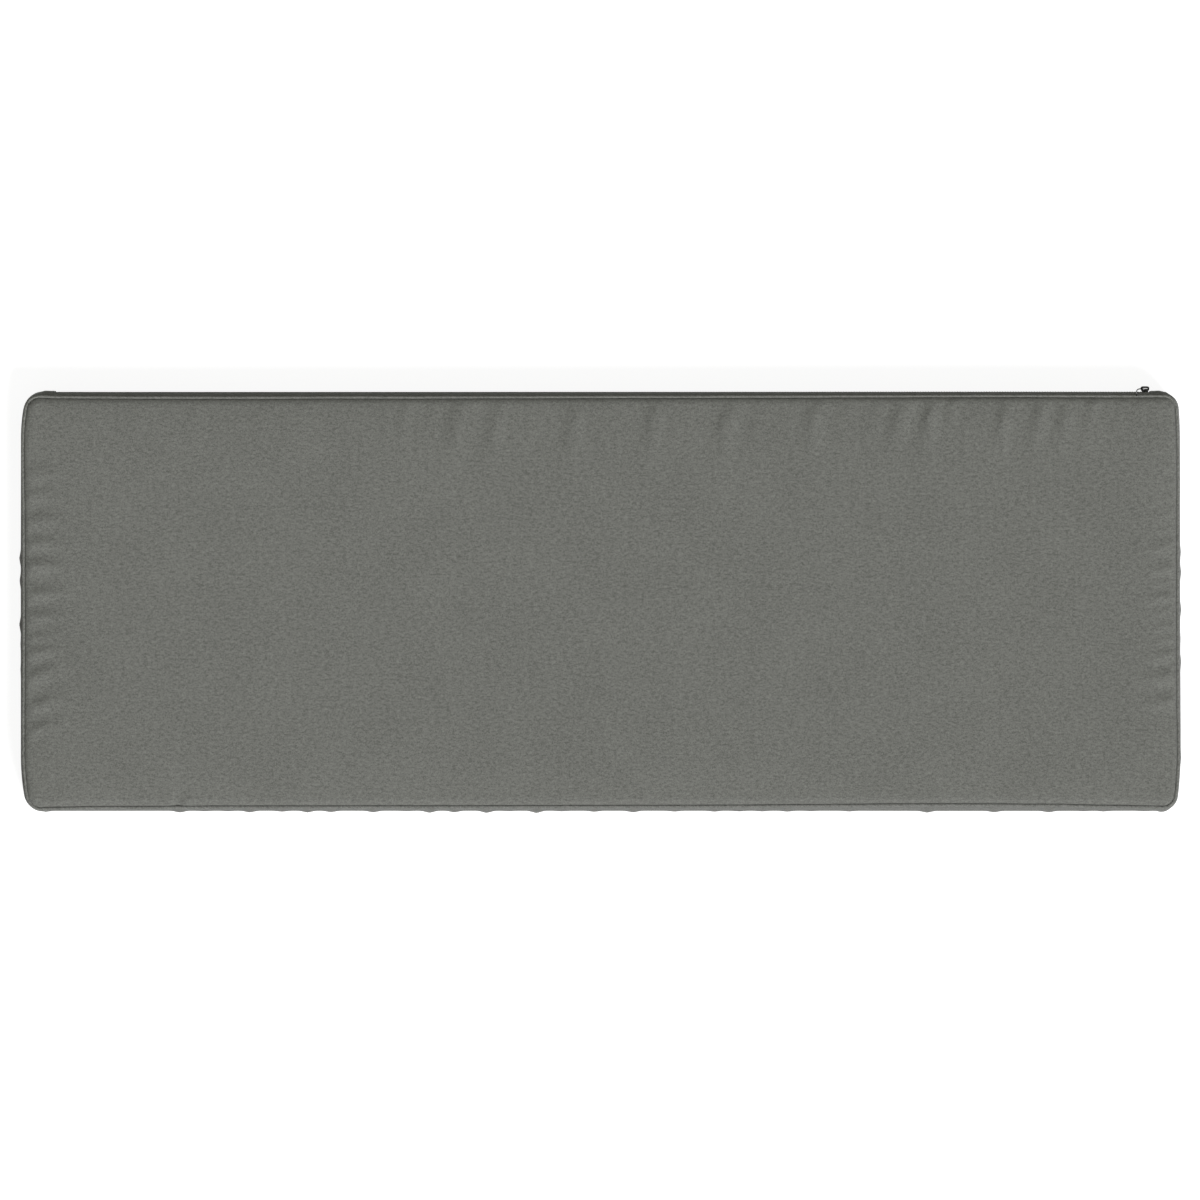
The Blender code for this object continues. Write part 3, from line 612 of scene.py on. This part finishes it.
def thread_material():
    """Sewing thread in the cloth's grey, twisted."""
    n = Nodes("sewing_thread")
    place = n.place()
    split = n.add("ShaderNodeSeparateXYZ", Vector=place)
    lean = n.math("ADD", split.outputs["X"], n.math("MULTIPLY", split.outputs["Z"], 1.6))
    twist = n.math("SINE", n.math("MULTIPLY", lean, 2 * math.pi / (0.55 * MM)))
    fleck = n.noise(place, 1500.0, 2.0)
    shade = n.math("MULTIPLY_ADD", twist, 0.15, fleck)
    colour = n.ramp(shade, (0.25, (0.120, 0.123, 0.111)), (0.80, (0.215, 0.220, 0.202)))
    return n.finish(colour, 0.75, shade, 0.05 * MM, Sheen_Weight=0.05)


def metal_material():
    """Dark satin metal, rubbed a little brighter in places."""
    n = Nodes("slider_metal")
    place = n.place()
    scuff = n.noise(place, 1400.0, 3.0, 0.65)
    patch = n.noise(place, 240.0, 2.0)
    colour = n.ramp(n.math("MULTIPLY_ADD", scuff, 0.4, n.math("MULTIPLY", patch, 0.6)),
                    (0.35, (0.018, 0.018, 0.017)), (0.75, (0.060, 0.060, 0.056)))
    roughness = n.math("MULTIPLY_ADD", scuff, 0.25, 0.26)
    return n.finish(colour, roughness, scuff, 0.015 * MM, Metallic=1.0)


# ======== the padded panels
def puckers(x, y):
    """Height of the soft ridges that run in from the seams, at plan points about the outline's middle."""
    total = np.zeros(len(x))
    sides = {
        # side: distance in from the seam, place along it
        "back": (HALF_DEPTH - y, x), "front": (HALF_DEPTH + y, x),
        "left": (HALF_LENGTH + x, y), "right": (HALF_LENGTH - x, y),
    }
    for side, (inside, along) in sides.items():
        for k, (place, half_width, strength, lean, reach_share) in enumerate(PUCKERS[side]):
            bend = PUCKER_WANDER * math.sin(1.7 * k) * np.sin(inside / PUCKER_WANDER_RUN)
            t = (along - place * MM - lean * inside - bend) / (half_width * MM)
            # A ridge stands in a low, wide valley, so that the panel keeps its height on the whole.
            ridge = np.exp(-0.5 * t * t) - VALLEY_SHARE * np.exp(-0.5 * (t / VALLEY_SPREAD) ** 2)
            swell = 1 - np.exp(-(inside / (reach_share * PUCKER_START[side])) ** 3)
            fall = np.exp(-(inside / (reach_share * PUCKER_REACH[side])) ** 3)
            total += PUCKER_HEIGHT * strength * half_width * MM * swell * ridge * fall
    return total


def crown_share(distance):
    return 1 - (1 - np.clip(distance / HALF_DEPTH, 0.0, 1.0)) ** 2


def panel_rise(inside, start, groove, run):
    """Height of the rounded seam edge above the seam, this far inside the cord's middle."""
    past = inside - PANEL_START
    rounded = (SEAM_EDGE_RISE - start - groove) * np.tanh(past / run)
    return start + groove * (1 - np.exp(-past / GROOVE_RUN)) + rounded


def raise_panel(points, rise):
    """Points at the upper panel's height: the seam edge's rise, with the crown and the filling on top."""
    x, y = points[:, 0], points[:, 1] - FRAME_SHIFT_Y
    crown = CROWN_RISE * crown_share(HALF_LENGTH - abs(x)) * crown_share(HALF_DEPTH - abs(y))
    filling = [sum(share * noise.noise((a * along, b * across, layer))
                   for along, across, layer, share in FILLING_LUMPS) for a, b in zip(x, y)]
    share = crown_share(np.minimum(HALF_LENGTH - abs(x), HALF_DEPTH - abs(y)) * FILLING_RISE)
    lifted = points.copy()
    lifted[:, 2] = UPPER_SEAM_Z + rise + crown + UNEVENNESS * share * np.array(filling)
    return lifted


def settled(points, faces, held):
    """Points of the upper panel after its cloth has settled on the filling: a simulation with the seam held.

    held is how firmly each point keeps its place, from 0 to 1: wholly at the seam, and less further in.
    """
    scene = bpy.context.scene
    panel = add_object("settling_panel", points, faces)
    group = panel.vertex_groups.new(name="held")
    for weight in np.unique(held):
        group.add(np.flatnonzero(held == weight).tolist(), float(weight), "REPLACE")
    modifier = panel.modifiers.new("cloth", "CLOTH")
    settings = modifier.settings
    settings.quality = SETTLING_QUALITY
    settings.mass = PANEL_MASS
    settings.tension_stiffness = settings.compression_stiffness = STRETCH_STIFFNESS
    settings.shear_stiffness = SHEAR_STIFFNESS
    settings.bending_stiffness = BENDING_STIFFNESS
    settings.vertex_group_mass = "held"
    settings.use_pressure = True
    settings.uniform_pressure_force = SETTLING_PRESSURE
    settings.effector_weights.gravity = 0.0
    modifier.collision_settings.use_collision = False
    for frame_number in range(1, SETTLING_FRAMES + 1):
        scene.frame_set(frame_number)
    after = panel.evaluated_get(bpy.context.evaluated_depsgraph_get()).data
    moved = np.empty(len(points) * 3, np.float32)
    after.vertices.foreach_get("co", moved)
    moved = moved.reshape(-1, 3) - points
    scene.frame_set(1)
    bpy.data.objects.remove(panel)
    distance = np.maximum(np.linalg.norm(moved, axis=1, keepdims=True), 1e-9)  # never nought
    return points + moved * SETTLING_CAP * np.tanh(distance / SETTLING_CAP) / distance


def cap_ring(around, inside, first):
    """A coarse grid of plan points inside a closed ring, and the faces that fill the ring with it.

    The ring's corner k stands for -1 - k in the faces, and the grid's points follow from first on.
    """
    at_corner = abs(around.share).sum(axis=1) == 2
    starts = np.flatnonzero(at_corner & ~np.roll(at_corner, 1))
    steps = np.diff(np.append(starts, len(at_corner))) - ARC_STEPS
    columns, rows = steps[0] // COARSENING, steps[1] // COARSENING
    x = np.linspace(-1.0, 1.0, columns + 1) * (HALF_LENGTH - inside)
    y = np.linspace(-1.0, 1.0, rows + 1) * (HALF_DEPTH - inside)
    plan = np.stack(np.meshgrid(x, y, indexing="ij"), axis=-1).reshape(-1, 2)
    index = first + np.arange(len(plan)).reshape(columns + 1, rows + 1)
    quads = np.stack((index[:-1, :-1], index[1:, :-1], index[1:, 1:], index[:-1, 1:]), axis=-1)
    faces = quads.reshape(-1, 4).tolist()
    borders = (index[:, 0], index[-1], index[::-1, -1], index[0, ::-1])
    for start, border in zip(starts, borders):
        faces.append([-1 - k for k in range(start, start + ARC_STEPS + 1)] + [border[0]])
        for m in range(len(border) - 1):
            begin = start + ARC_STEPS + m * COARSENING
            opposite = [-1 - k % len(at_corner) for k in range(begin, begin + COARSENING + 1)]
            faces.append(opposite + [border[m + 1], border[m]])
    return plan, faces


def make_pad(cloth):
    """The filled pad: crowned upper panel with puckers, side walls behind the boxing, and flat underside."""
    around = whole_outline(PAD_STEP)
    count = len(around.share)
    rings, places = [], []

    def add_ring(inside, z, draw_in, flat_inset):
        fade = (1.0 - max(0.0, inside - FADE_START) / (PANEL_EDGE - FADE_START)) ** 2
        plan = around.line(-around.blend(draw_in), PIPING_RADIUS + inside, fade)
        rings.append(np.column_stack((plan, np.full(count, z))))
        places.append(around.inset(flat_inset))

    for inside in np.geomspace(PANEL_START, PANEL_EDGE, UNDERSIDE_RINGS)[::-1]:
        z = (LOWER_SEAM_Z - GAP) * math.exp(-(inside - PANEL_START) / UNDERSIDE_ROLL)
        add_ring(inside, z if inside < UNDERSIDE_FLAT else 0.0, LOWER_DRAW_IN, PIPING_RADIUS + inside)
    add_ring(WALL_INSET, LOWER_SEAM_Z + WALL_TURN, LOWER_DRAW_IN, WALL_PLACES[0])
    reach = around.blend(BOXING_REACH)
    wall = around.line(np.minimum(reach, WALL_BULGE * reach) - CLOTH - 3 * GAP)
    rings.append(np.column_stack((wall, np.full(count, ZIP_Z))))
    places.append(around.inset(WALL_PLACES[1]))
    add_ring(WALL_INSET, UPPER_SEAM_Z - WALL_TURN, UPPER_DRAW_IN, WALL_PLACES[2])
    first_top = len(rings)
    # On the flat cloth a ring lies further out than in plan, because the cloth still has to climb.
    distances = np.geomspace(PANEL_START, PANEL_EDGE, PANEL_RINGS)
    steps = np.hypot(np.diff(distances), np.diff(panel_rise(distances, *USUAL_EDGE)))
    to_go = np.append(np.cumsum(steps[::-1])[::-1], 0.0)
    for inside, left in zip(distances, to_go):
        add_ring(inside, 0.0, UPPER_DRAW_IN, PIPING_RADIUS + PANEL_EDGE - left)
    points = np.stack(rings, axis=1)  # (places, rings, 3)
    edge = [around.mix({side: row[k] * MM for side, row in SEAM_EDGE.items()})[:, None] for k in range(3)]
    rise = panel_rise(distances, *edge).ravel()
    points[:, first_top:] = raise_panel(points[:, first_top:].reshape(-1, 3), rise).reshape(count, -1, 3)

    ring_count = points.shape[1]
    row, column = grid_faces(count, ring_count, True, False)
    faces = ((row % count) * ring_count + column).tolist()
    flat_places = np.stack(places, axis=1)
    points, flat_places = points.reshape(-1, 3), flat_places.reshape(-1, 2)
    for ring, on_top in ((0, False), (ring_count - 1, True)):
        plan, cap = cap_ring(around, PIPING_RADIUS + PANEL_EDGE + GRID_GAP, len(points))
        grid = np.column_stack((plan[:, 0], plan[:, 1] + FRAME_SHIFT_Y, np.zeros(len(plan))))
        if on_top:
            grid = raise_panel(grid, SEAM_EDGE_RISE)
        cap = [[p if p >= 0 else (-1 - p) * ring_count + ring for p in face] for face in cap]
        faces += cap if on_top else [face[::-1] for face in cap]
        points = np.vstack((points, grid))
        flat_places = np.vstack((flat_places, plan))
    band = np.arange(count * ring_count).reshape(count, -1)[:, first_top:].ravel()
    upper = np.append(band, np.arange(len(points) - len(plan), len(points)))
    hold = np.full(len(upper), HOLD[-1][1])
    hold[:len(band)] = np.tile(np.interp(distances, *zip(*HOLD)), count)
    index = np.full(len(points), -1)
    index[upper] = np.arange(len(upper))
    panel_faces = [index[face].tolist() for face in faces if min(index[face]) >= 0]
    points[upper] = settled(points[upper], panel_faces, np.round(hold, 3))
    points[upper, 2] += puckers(points[upper, 0], points[upper, 1] - FRAME_SHIFT_Y)
    corner_places = [(*flat_places[p], 0.0) for face in faces for p in face]
    pad = add_object("cushion_pad", points, faces, corner_places)
    pad.data.materials.append(cloth)
    return face_out(pad)


# ======== piping, boxing and zip strips
def make_piping(name, z, draw_in, cloth, phase):
    """Corded piping: a tight bias strip over a cord, with the small unevenness of hand guiding."""
    around = whole_outline(FINE_STEP)
    plan = around.line(-around.blend(draw_in) - PIPING_RADIUS)
    path = np.column_stack((plan, np.full(len(plan), z)))
    along = run_length(np.vstack((path, path[:1])))
    waver = uneven(along[:-1], 18.0, phase)
    path[:, :2] += around.out * (PIPING_WAVER * waver)[:, None]
    thickness = uneven(along[:-1], 60.0, phase, 5.0)
    radius = PIPING_RADIUS * (1.0 + PIPING_UNEVENNESS * thickness - PIPING_TIGHTNESS)
    sections = ring_tube(path, radius, PIPING_SIDES)
    girth = np.arange(PIPING_SIDES + 1) / PIPING_SIDES * 2 * math.pi * PIPING_RADIUS
    obj = swept(name, sections, along, girth, True)
    obj.data.materials.append(cloth)
    return face_out(obj)


def boxing_surface(around, shares, depth):
    """Points (places, shares, 3) on a sheet this deep behind the boxing's outer face.

    depth is one value or an array that goes with (places, shares).
    """
    low = CLOTH / 2 - PIPING_RADIUS - around.blend(LOWER_DRAW_IN)
    high = CLOTH / 2 - PIPING_RADIUS - around.blend(UPPER_DRAW_IN)
    depths = np.broadcast_to(depth, (len(around.share), len(shares)))
    columns = []
    for k, share in enumerate(shares):
        bulge = around.blend(BOXING_REACH) + around.creases(share) - (low + high) / 2
        outward = low + (high - low) * share + bulge * 4 * share * (1 - share) - depths[:, k]
        z = LOWER_SEAM_Z + PIPING_RADIUS + GAP + BOXING_HEIGHT * share
        columns.append(np.column_stack((around.line(outward), np.full(len(around.share), z))))
    return np.stack(columns, axis=1)


def make_strip(name, around, shares, depth, thickness, finish):
    """Closed strip between two of the boxing's heights."""
    outer = boxing_surface(around, shares, depth)
    inner = boxing_surface(around, shares, depth + thickness)[:, ::-1]
    sections = np.concatenate((outer, inner), axis=1)
    along = run_length(outer[:, len(shares) // 2])
    height = BOXING_HEIGHT * np.array(shares)
    girth = np.concatenate((height, height[::-1], height[:1]))
    obj = swept(name, sections, along, girth, False, smooth_angle=60)
    obj.data.materials.append(finish)
    return face_out(obj)


def make_boxing(cloth):
    """One strip round both ends and the front. Its turned-in ends lap over the ends of the zip's strips."""
    around = whole_outline(FINE_STEP)
    order = np.arange(len(around.share))
    x = around.line(0.0)[:, 0]
    in_zip = (around.out[:, 1] > 0.99) & (x > ZIP_LEFT_X) & (x < ZIP_RIGHT_X)
    start = int(np.flatnonzero(in_zip)[-1]) + 1  # the place just past the zip's left end
    order = np.roll(order, -start)
    run = around.part(order[~in_zip[order]])
    ends = [back_outline(np.array((x,))) for x in (ZIP_LEFT_X + BOXING_LAP, ZIP_RIGHT_X - BOXING_LAP)]
    shares = np.concatenate((ends[0].share, run.share, ends[1].share))
    angles = np.concatenate(((math.pi / 2,), np.arctan2(run.out[:, 1], run.out[:, 0]), (math.pi / 2,)))
    whole = Outline(shares, angles)
    along = run_length(whole.line(0.0))
    from_end = np.minimum(along, along[-1] - along)
    thickness = CLOTH + HEM_THICKNESS * np.clip(2 - from_end / HEM_RUN, 0.0, 1.0)
    return make_strip("boxing", whole, np.linspace(0.0, 1.0, BOXING_ROWS), 0.0, thickness[:, None], cloth)


def make_zip_side(cloth, tape):
    """The cloth strips above and below the zip, and the tape that each one's folded edge is sewn to."""
    places = np.linspace(ZIP_LEFT_X + GAP, ZIP_RIGHT_X - GAP, round((ZIP_RIGHT_X - ZIP_LEFT_X) / ZIP_STEP))
    around = back_outline(places)
    fold = FOLD_EDGE / BOXING_HEIGHT
    upper = np.append(fold + np.array(FOLD_ROWS), np.linspace(fold + STRIP_START, 0.5, STRIP_ROWS))
    hidden = np.linspace(TAPE_INNER_EDGE / BOXING_HEIGHT, fold + TAPE_HIDDEN / BOXING_HEIGHT, TAPE_ROWS)
    back = STRIP_BACK + FOLD_BACK * np.exp(-(upper - fold) * BOXING_HEIGHT / FOLD_RUN)
    back[:len(FOLD_ROUNDING)] += FOLD_ROUNDING
    waver = uneven(places, 9.0, 4.0)[:, None] * FOLD_WAVER * MM
    thickness = CLOTH - STRIP_THINNING
    behind = STRIP_BACK + CLOTH + GAP
    return [
        make_strip("zip_cloth_upper", around, 0.5 + upper, back + waver, thickness, cloth),
        make_strip("zip_cloth_lower", around, 0.5 - upper[::-1], back[::-1] - waver, thickness, cloth),
        make_strip("zip_tape_upper_half", around, 0.5 + hidden, behind, TAPE, tape),
        make_strip("zip_tape_lower_half", around, 0.5 - hidden[::-1], behind, TAPE, tape),
    ]


def tiled(name, points, faces, offsets, finish):
    """One object of many copies of a small mesh, each moved by its own offset."""
    count = len(points)
    everywhere = (np.asarray(points)[None] + np.asarray(offsets)[:, None]).reshape(-1, 3)
    copies = [[corner + k * count for corner in face] for k in range(len(offsets)) for face in faces]
    obj = add_object(name, everywhere, copies, smooth_angle=50)
    obj.data.materials.append(finish)
    return obj


def capped_bar(sections):
    """Points and faces of one small bar through sections, an array (sections, points, 3)."""
    rows, columns = sections.shape[:2]
    row, column = grid_faces(rows, columns, False, True)
    faces = (row * columns + column % columns).tolist()
    faces.append(list(range(columns)))
    faces.append([(rows - 1) * columns + c for c in range(columns - 1, -1, -1)])
    return sections.reshape(-1, 3), faces


def make_teeth(coil):
    """The closed chain: legs of the two coils, which come in past the zip's line from both sides by turns."""
    around = np.linspace(0.0, 2 * math.pi, BAR_SIDES, endpoint=False)
    front = CHAIN_HIGH.y - TOOTH_HALF_DEPTH
    x = np.arange(ZIP_LEFT_X + CHAIN_END_GAPS[0], CHAIN_HIGH.x - CHAIN_END_GAPS[1], TOOTH_PITCH)
    pieces = []
    for side, start in ((1, 0.0), (-1, TOOTH_PITCH / 2)):
        sections = np.array([
            [
                (
                    side * TOOTH_SLANT * up * MM + TOOTH_HALF_WIDTH * width * math.cos(a),
                    front + TOOTH_HALF_DEPTH * depth * math.sin(a),
                    ZIP_Z + side * up * MM,
                ) for a in around
            ] for up, width, depth in TOOTH_SECTIONS
        ])
        points, faces = capped_bar(sections)
        if side > 0:
            faces = [face[::-1] for face in faces]
        pieces.append((points, faces, [(place + start, 0.0, 0.0) for place in x]))
    (upper, upper_faces, above), (lower, lower_faces, below) = pieces
    teeth = tiled("zip_teeth", upper, upper_faces, above, coil)
    other = tiled("lower_teeth", lower, lower_faces, below, coil)
    return joined(teeth, other)


def joined(target, other):
    """Puts the other object's mesh into the first one."""
    with bpy.context.temp_override(active_object=target, selected_editable_objects=[target, other]):
        bpy.ops.object.join()
    return target


def make_stitches(name, points, away, thread):
    """A row of stitches along a line of points: short rounded bars that stand a little out of the cloth."""
    steps = run_length(points)
    centres = np.arange(STITCH_PITCH / 2, steps[-1], STITCH_PITCH)
    t = np.linspace(-0.5, 0.5, len(STITCH_ARCH))
    arch = np.array(STITCH_ARCH)[:, None] * MM
    turns = np.linspace(0.0, 2 * math.pi, BAR_SIDES, endpoint=False)
    away = np.array(away, float)
    points_out, faces_out = [], []
    for centre in centres:
        at = centre + t * STITCH_LENGTH
        path = np.stack([np.interp(at, steps, points[:, k]) for k in range(3)], axis=1) + arch * away
        ahead = path[-1] - path[0]
        ahead /= np.linalg.norm(ahead)
        side = np.cross(ahead, away)
        sections = path[:, None] + THREAD_RADIUS * (
            np.cos(turns)[None, :, None] * away + np.sin(turns)[None, :, None] * side
        )
        bar, faces = capped_bar(sections)
        first = len(points_out) * bar.shape[0]
        points_out.append(bar)
        faces_out += [[corner + first for corner in face] for face in faces]
    row = add_object(name, np.concatenate(points_out), faces_out, smooth_angle=60)
    row.data.materials.append(thread)
    return face_out(row)


def make_stitching(thread):
    """Rows along the strips' folded edges, and one up each of the boxing's turned-in ends."""
    along = back_outline(np.linspace(ZIP_LEFT_X + SEAM_ROW_GAP, ZIP_RIGHT_X - SEAM_ROW_GAP, 300))
    fold = (FOLD_EDGE + STITCH_INSET) / BOXING_HEIGHT
    rows = [
        make_stitches(f"stitches_{name}", boxing_surface(along, [0.5 + side * fold], STRIP_BACK)[:, 0],
                      (0.0, 1.0, 0.0), thread)
        for name, side in (("upper", 1), ("lower", -1))
    ]
    heights = np.linspace(0.06, 0.94, 30)
    for name, x in (("left", ZIP_LEFT_X - END_ROW_GAP), ("right", ZIP_RIGHT_X + END_ROW_GAP)):
        line = boxing_surface(back_outline(np.array((x,))), heights, 0.0)[0]
        rows.append(make_stitches(f"stitches_{name}", line, (0.0, 1.0, 0.0), thread))
    return rows


def make_pull(finish):
    """The pull's bent wire, a little stouter than its CAD solid, so that it shows as in the photograph."""
    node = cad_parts["zip_pull"]
    turn = node.matrix_world.to_3x3()
    shape = bmesh.new()
    shape.from_mesh(node.data)
    bmesh.ops.remove_doubles(shape, verts=shape.verts, dist=SAME_POINT)
    shape.normal_update()
    points = [node.matrix_world @ v.co + (turn @ v.normal) * PULL_GROWTH for v in shape.verts]
    pull = add_object("zip_pull_wire", points, [[v.index for v in face.verts] for face in shape.faces],
                      smooth_angle=50)
    shape.free()
    pull.data.materials.append(finish)
    return face_out(pull)


# ======== studio
def make_studio():
    scene = bpy.context.scene
    scene.view_settings.view_transform = "Standard"
    world = bpy.data.worlds.new("studio")
    scene.world = world
    world.use_nodes = True
    nodes, links = world.node_tree.nodes, world.node_tree.links
    height = nodes.new("ShaderNodeSeparateXYZ")
    links.new(nodes.new("ShaderNodeTexCoord").outputs["Generated"], height.inputs[0])
    dome = nodes.new("ShaderNodeMath")
    dome.operation = "MULTIPLY"
    dome.use_clamp = True
    dome.inputs[1].default_value = DOME_LIGHT
    links.new(height.outputs["Z"], dome.inputs[0])
    links.new(dome.outputs[0], nodes["Background"].inputs["Strength"])
    nodes["Background"].inputs["Color"].default_value = (1.0, 1.0, 1.0, 1.0)

    side = FLOOR_HALF_SIDE
    floor = add_object("floor", [(-side, -side, 0), (side, -side, 0), (side, side, 0), (-side, side, 0)],
                       [(0, 1, 2, 3)])
    floor.location.z = -FLOOR_DROP
    n = Nodes("floor_paper")
    grain = n.noise(n.place(), 400.0)
    colour = n.ramp(grain, (0.0, (0.49, 0.49, 0.49)), (1.0, (0.51, 0.51, 0.51)))
    floor.data.materials.append(n.finish(colour, 0.9, None, 0.0, Emission_Strength=FLOOR_GLOW,
                                         Emission_Color=(1.0, 1.0, 1.0, 1.0)))
    floor.visible_diffuse = False
    for name, towards, energy, spread, colour in LAMPS:
        lamp = bpy.data.lights.new(name, "SUN")
        lamp.energy = energy
        lamp.color = colour
        lamp.angle = math.radians(spread)
        holder = bpy.data.objects.new(name, lamp)
        scene.collection.objects.link(holder)
        holder.rotation_mode = "QUATERNION"
        holder.rotation_quaternion = Vector(towards).to_track_quat("Z", "Y")


def make_camera():
    lens = bpy.data.cameras.new("camera")
    lens.lens = LENS_MM
    lens.sensor_width = SENSOR_MM
    lens.clip_end = 200.0
    camera = bpy.data.objects.new("camera", lens)
    bpy.context.scene.collection.objects.link(camera)
    distance = PHOTO_SIDE_PX * METRES_PER_PX * LENS_MM / SENSOR_MM
    camera.location = (*VIEW_CENTRE, ZIP_Z + distance)
    bpy.context.scene.camera = camera


# ======== put together
make_studio()
make_camera()

cloth = woven("grey_melange", (0.103, 0.105, 0.094), (0.220, 0.225, 0.205))
piping_cloth = woven("piping_bias", (0.100, 0.102, 0.091), (0.250, 0.255, 0.236), turn=math.pi / 4)
tape = tape_material()
coil = coil_material()
metal = metal_material()
thread = thread_material()

pad = make_pad(cloth)
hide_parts("cushion_body")

pipings = [
    make_piping("piping_cord_upper", UPPER_SEAM_Z, UPPER_DRAW_IN, piping_cloth, 1.0),
    make_piping("piping_cord_lower", LOWER_SEAM_Z, LOWER_DRAW_IN, piping_cloth, 8.0),
]
for piece, node in zip(pipings, ("piping_upper", "piping_lower")):
    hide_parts(node)

boxing = make_boxing(cloth)
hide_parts("boxing_main")

zip_sheets = make_zip_side(cloth, tape)
zip_nodes = ("zip_strip_upper", "zip_strip_lower", "zip_tape_upper", "zip_tape_lower")
for piece, node in zip(zip_sheets, zip_nodes):
    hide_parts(node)

teeth = make_teeth(coil)
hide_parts("zip_chain")
stitching = make_stitching(thread)

pull = make_pull(metal)
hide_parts("zip_pull")

for piece in (pad, *pipings, boxing, *zip_sheets, teeth, *stitching, pull):
    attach(piece, "root")

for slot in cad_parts["zip_slider"].material_slots:
    slot.material = metal
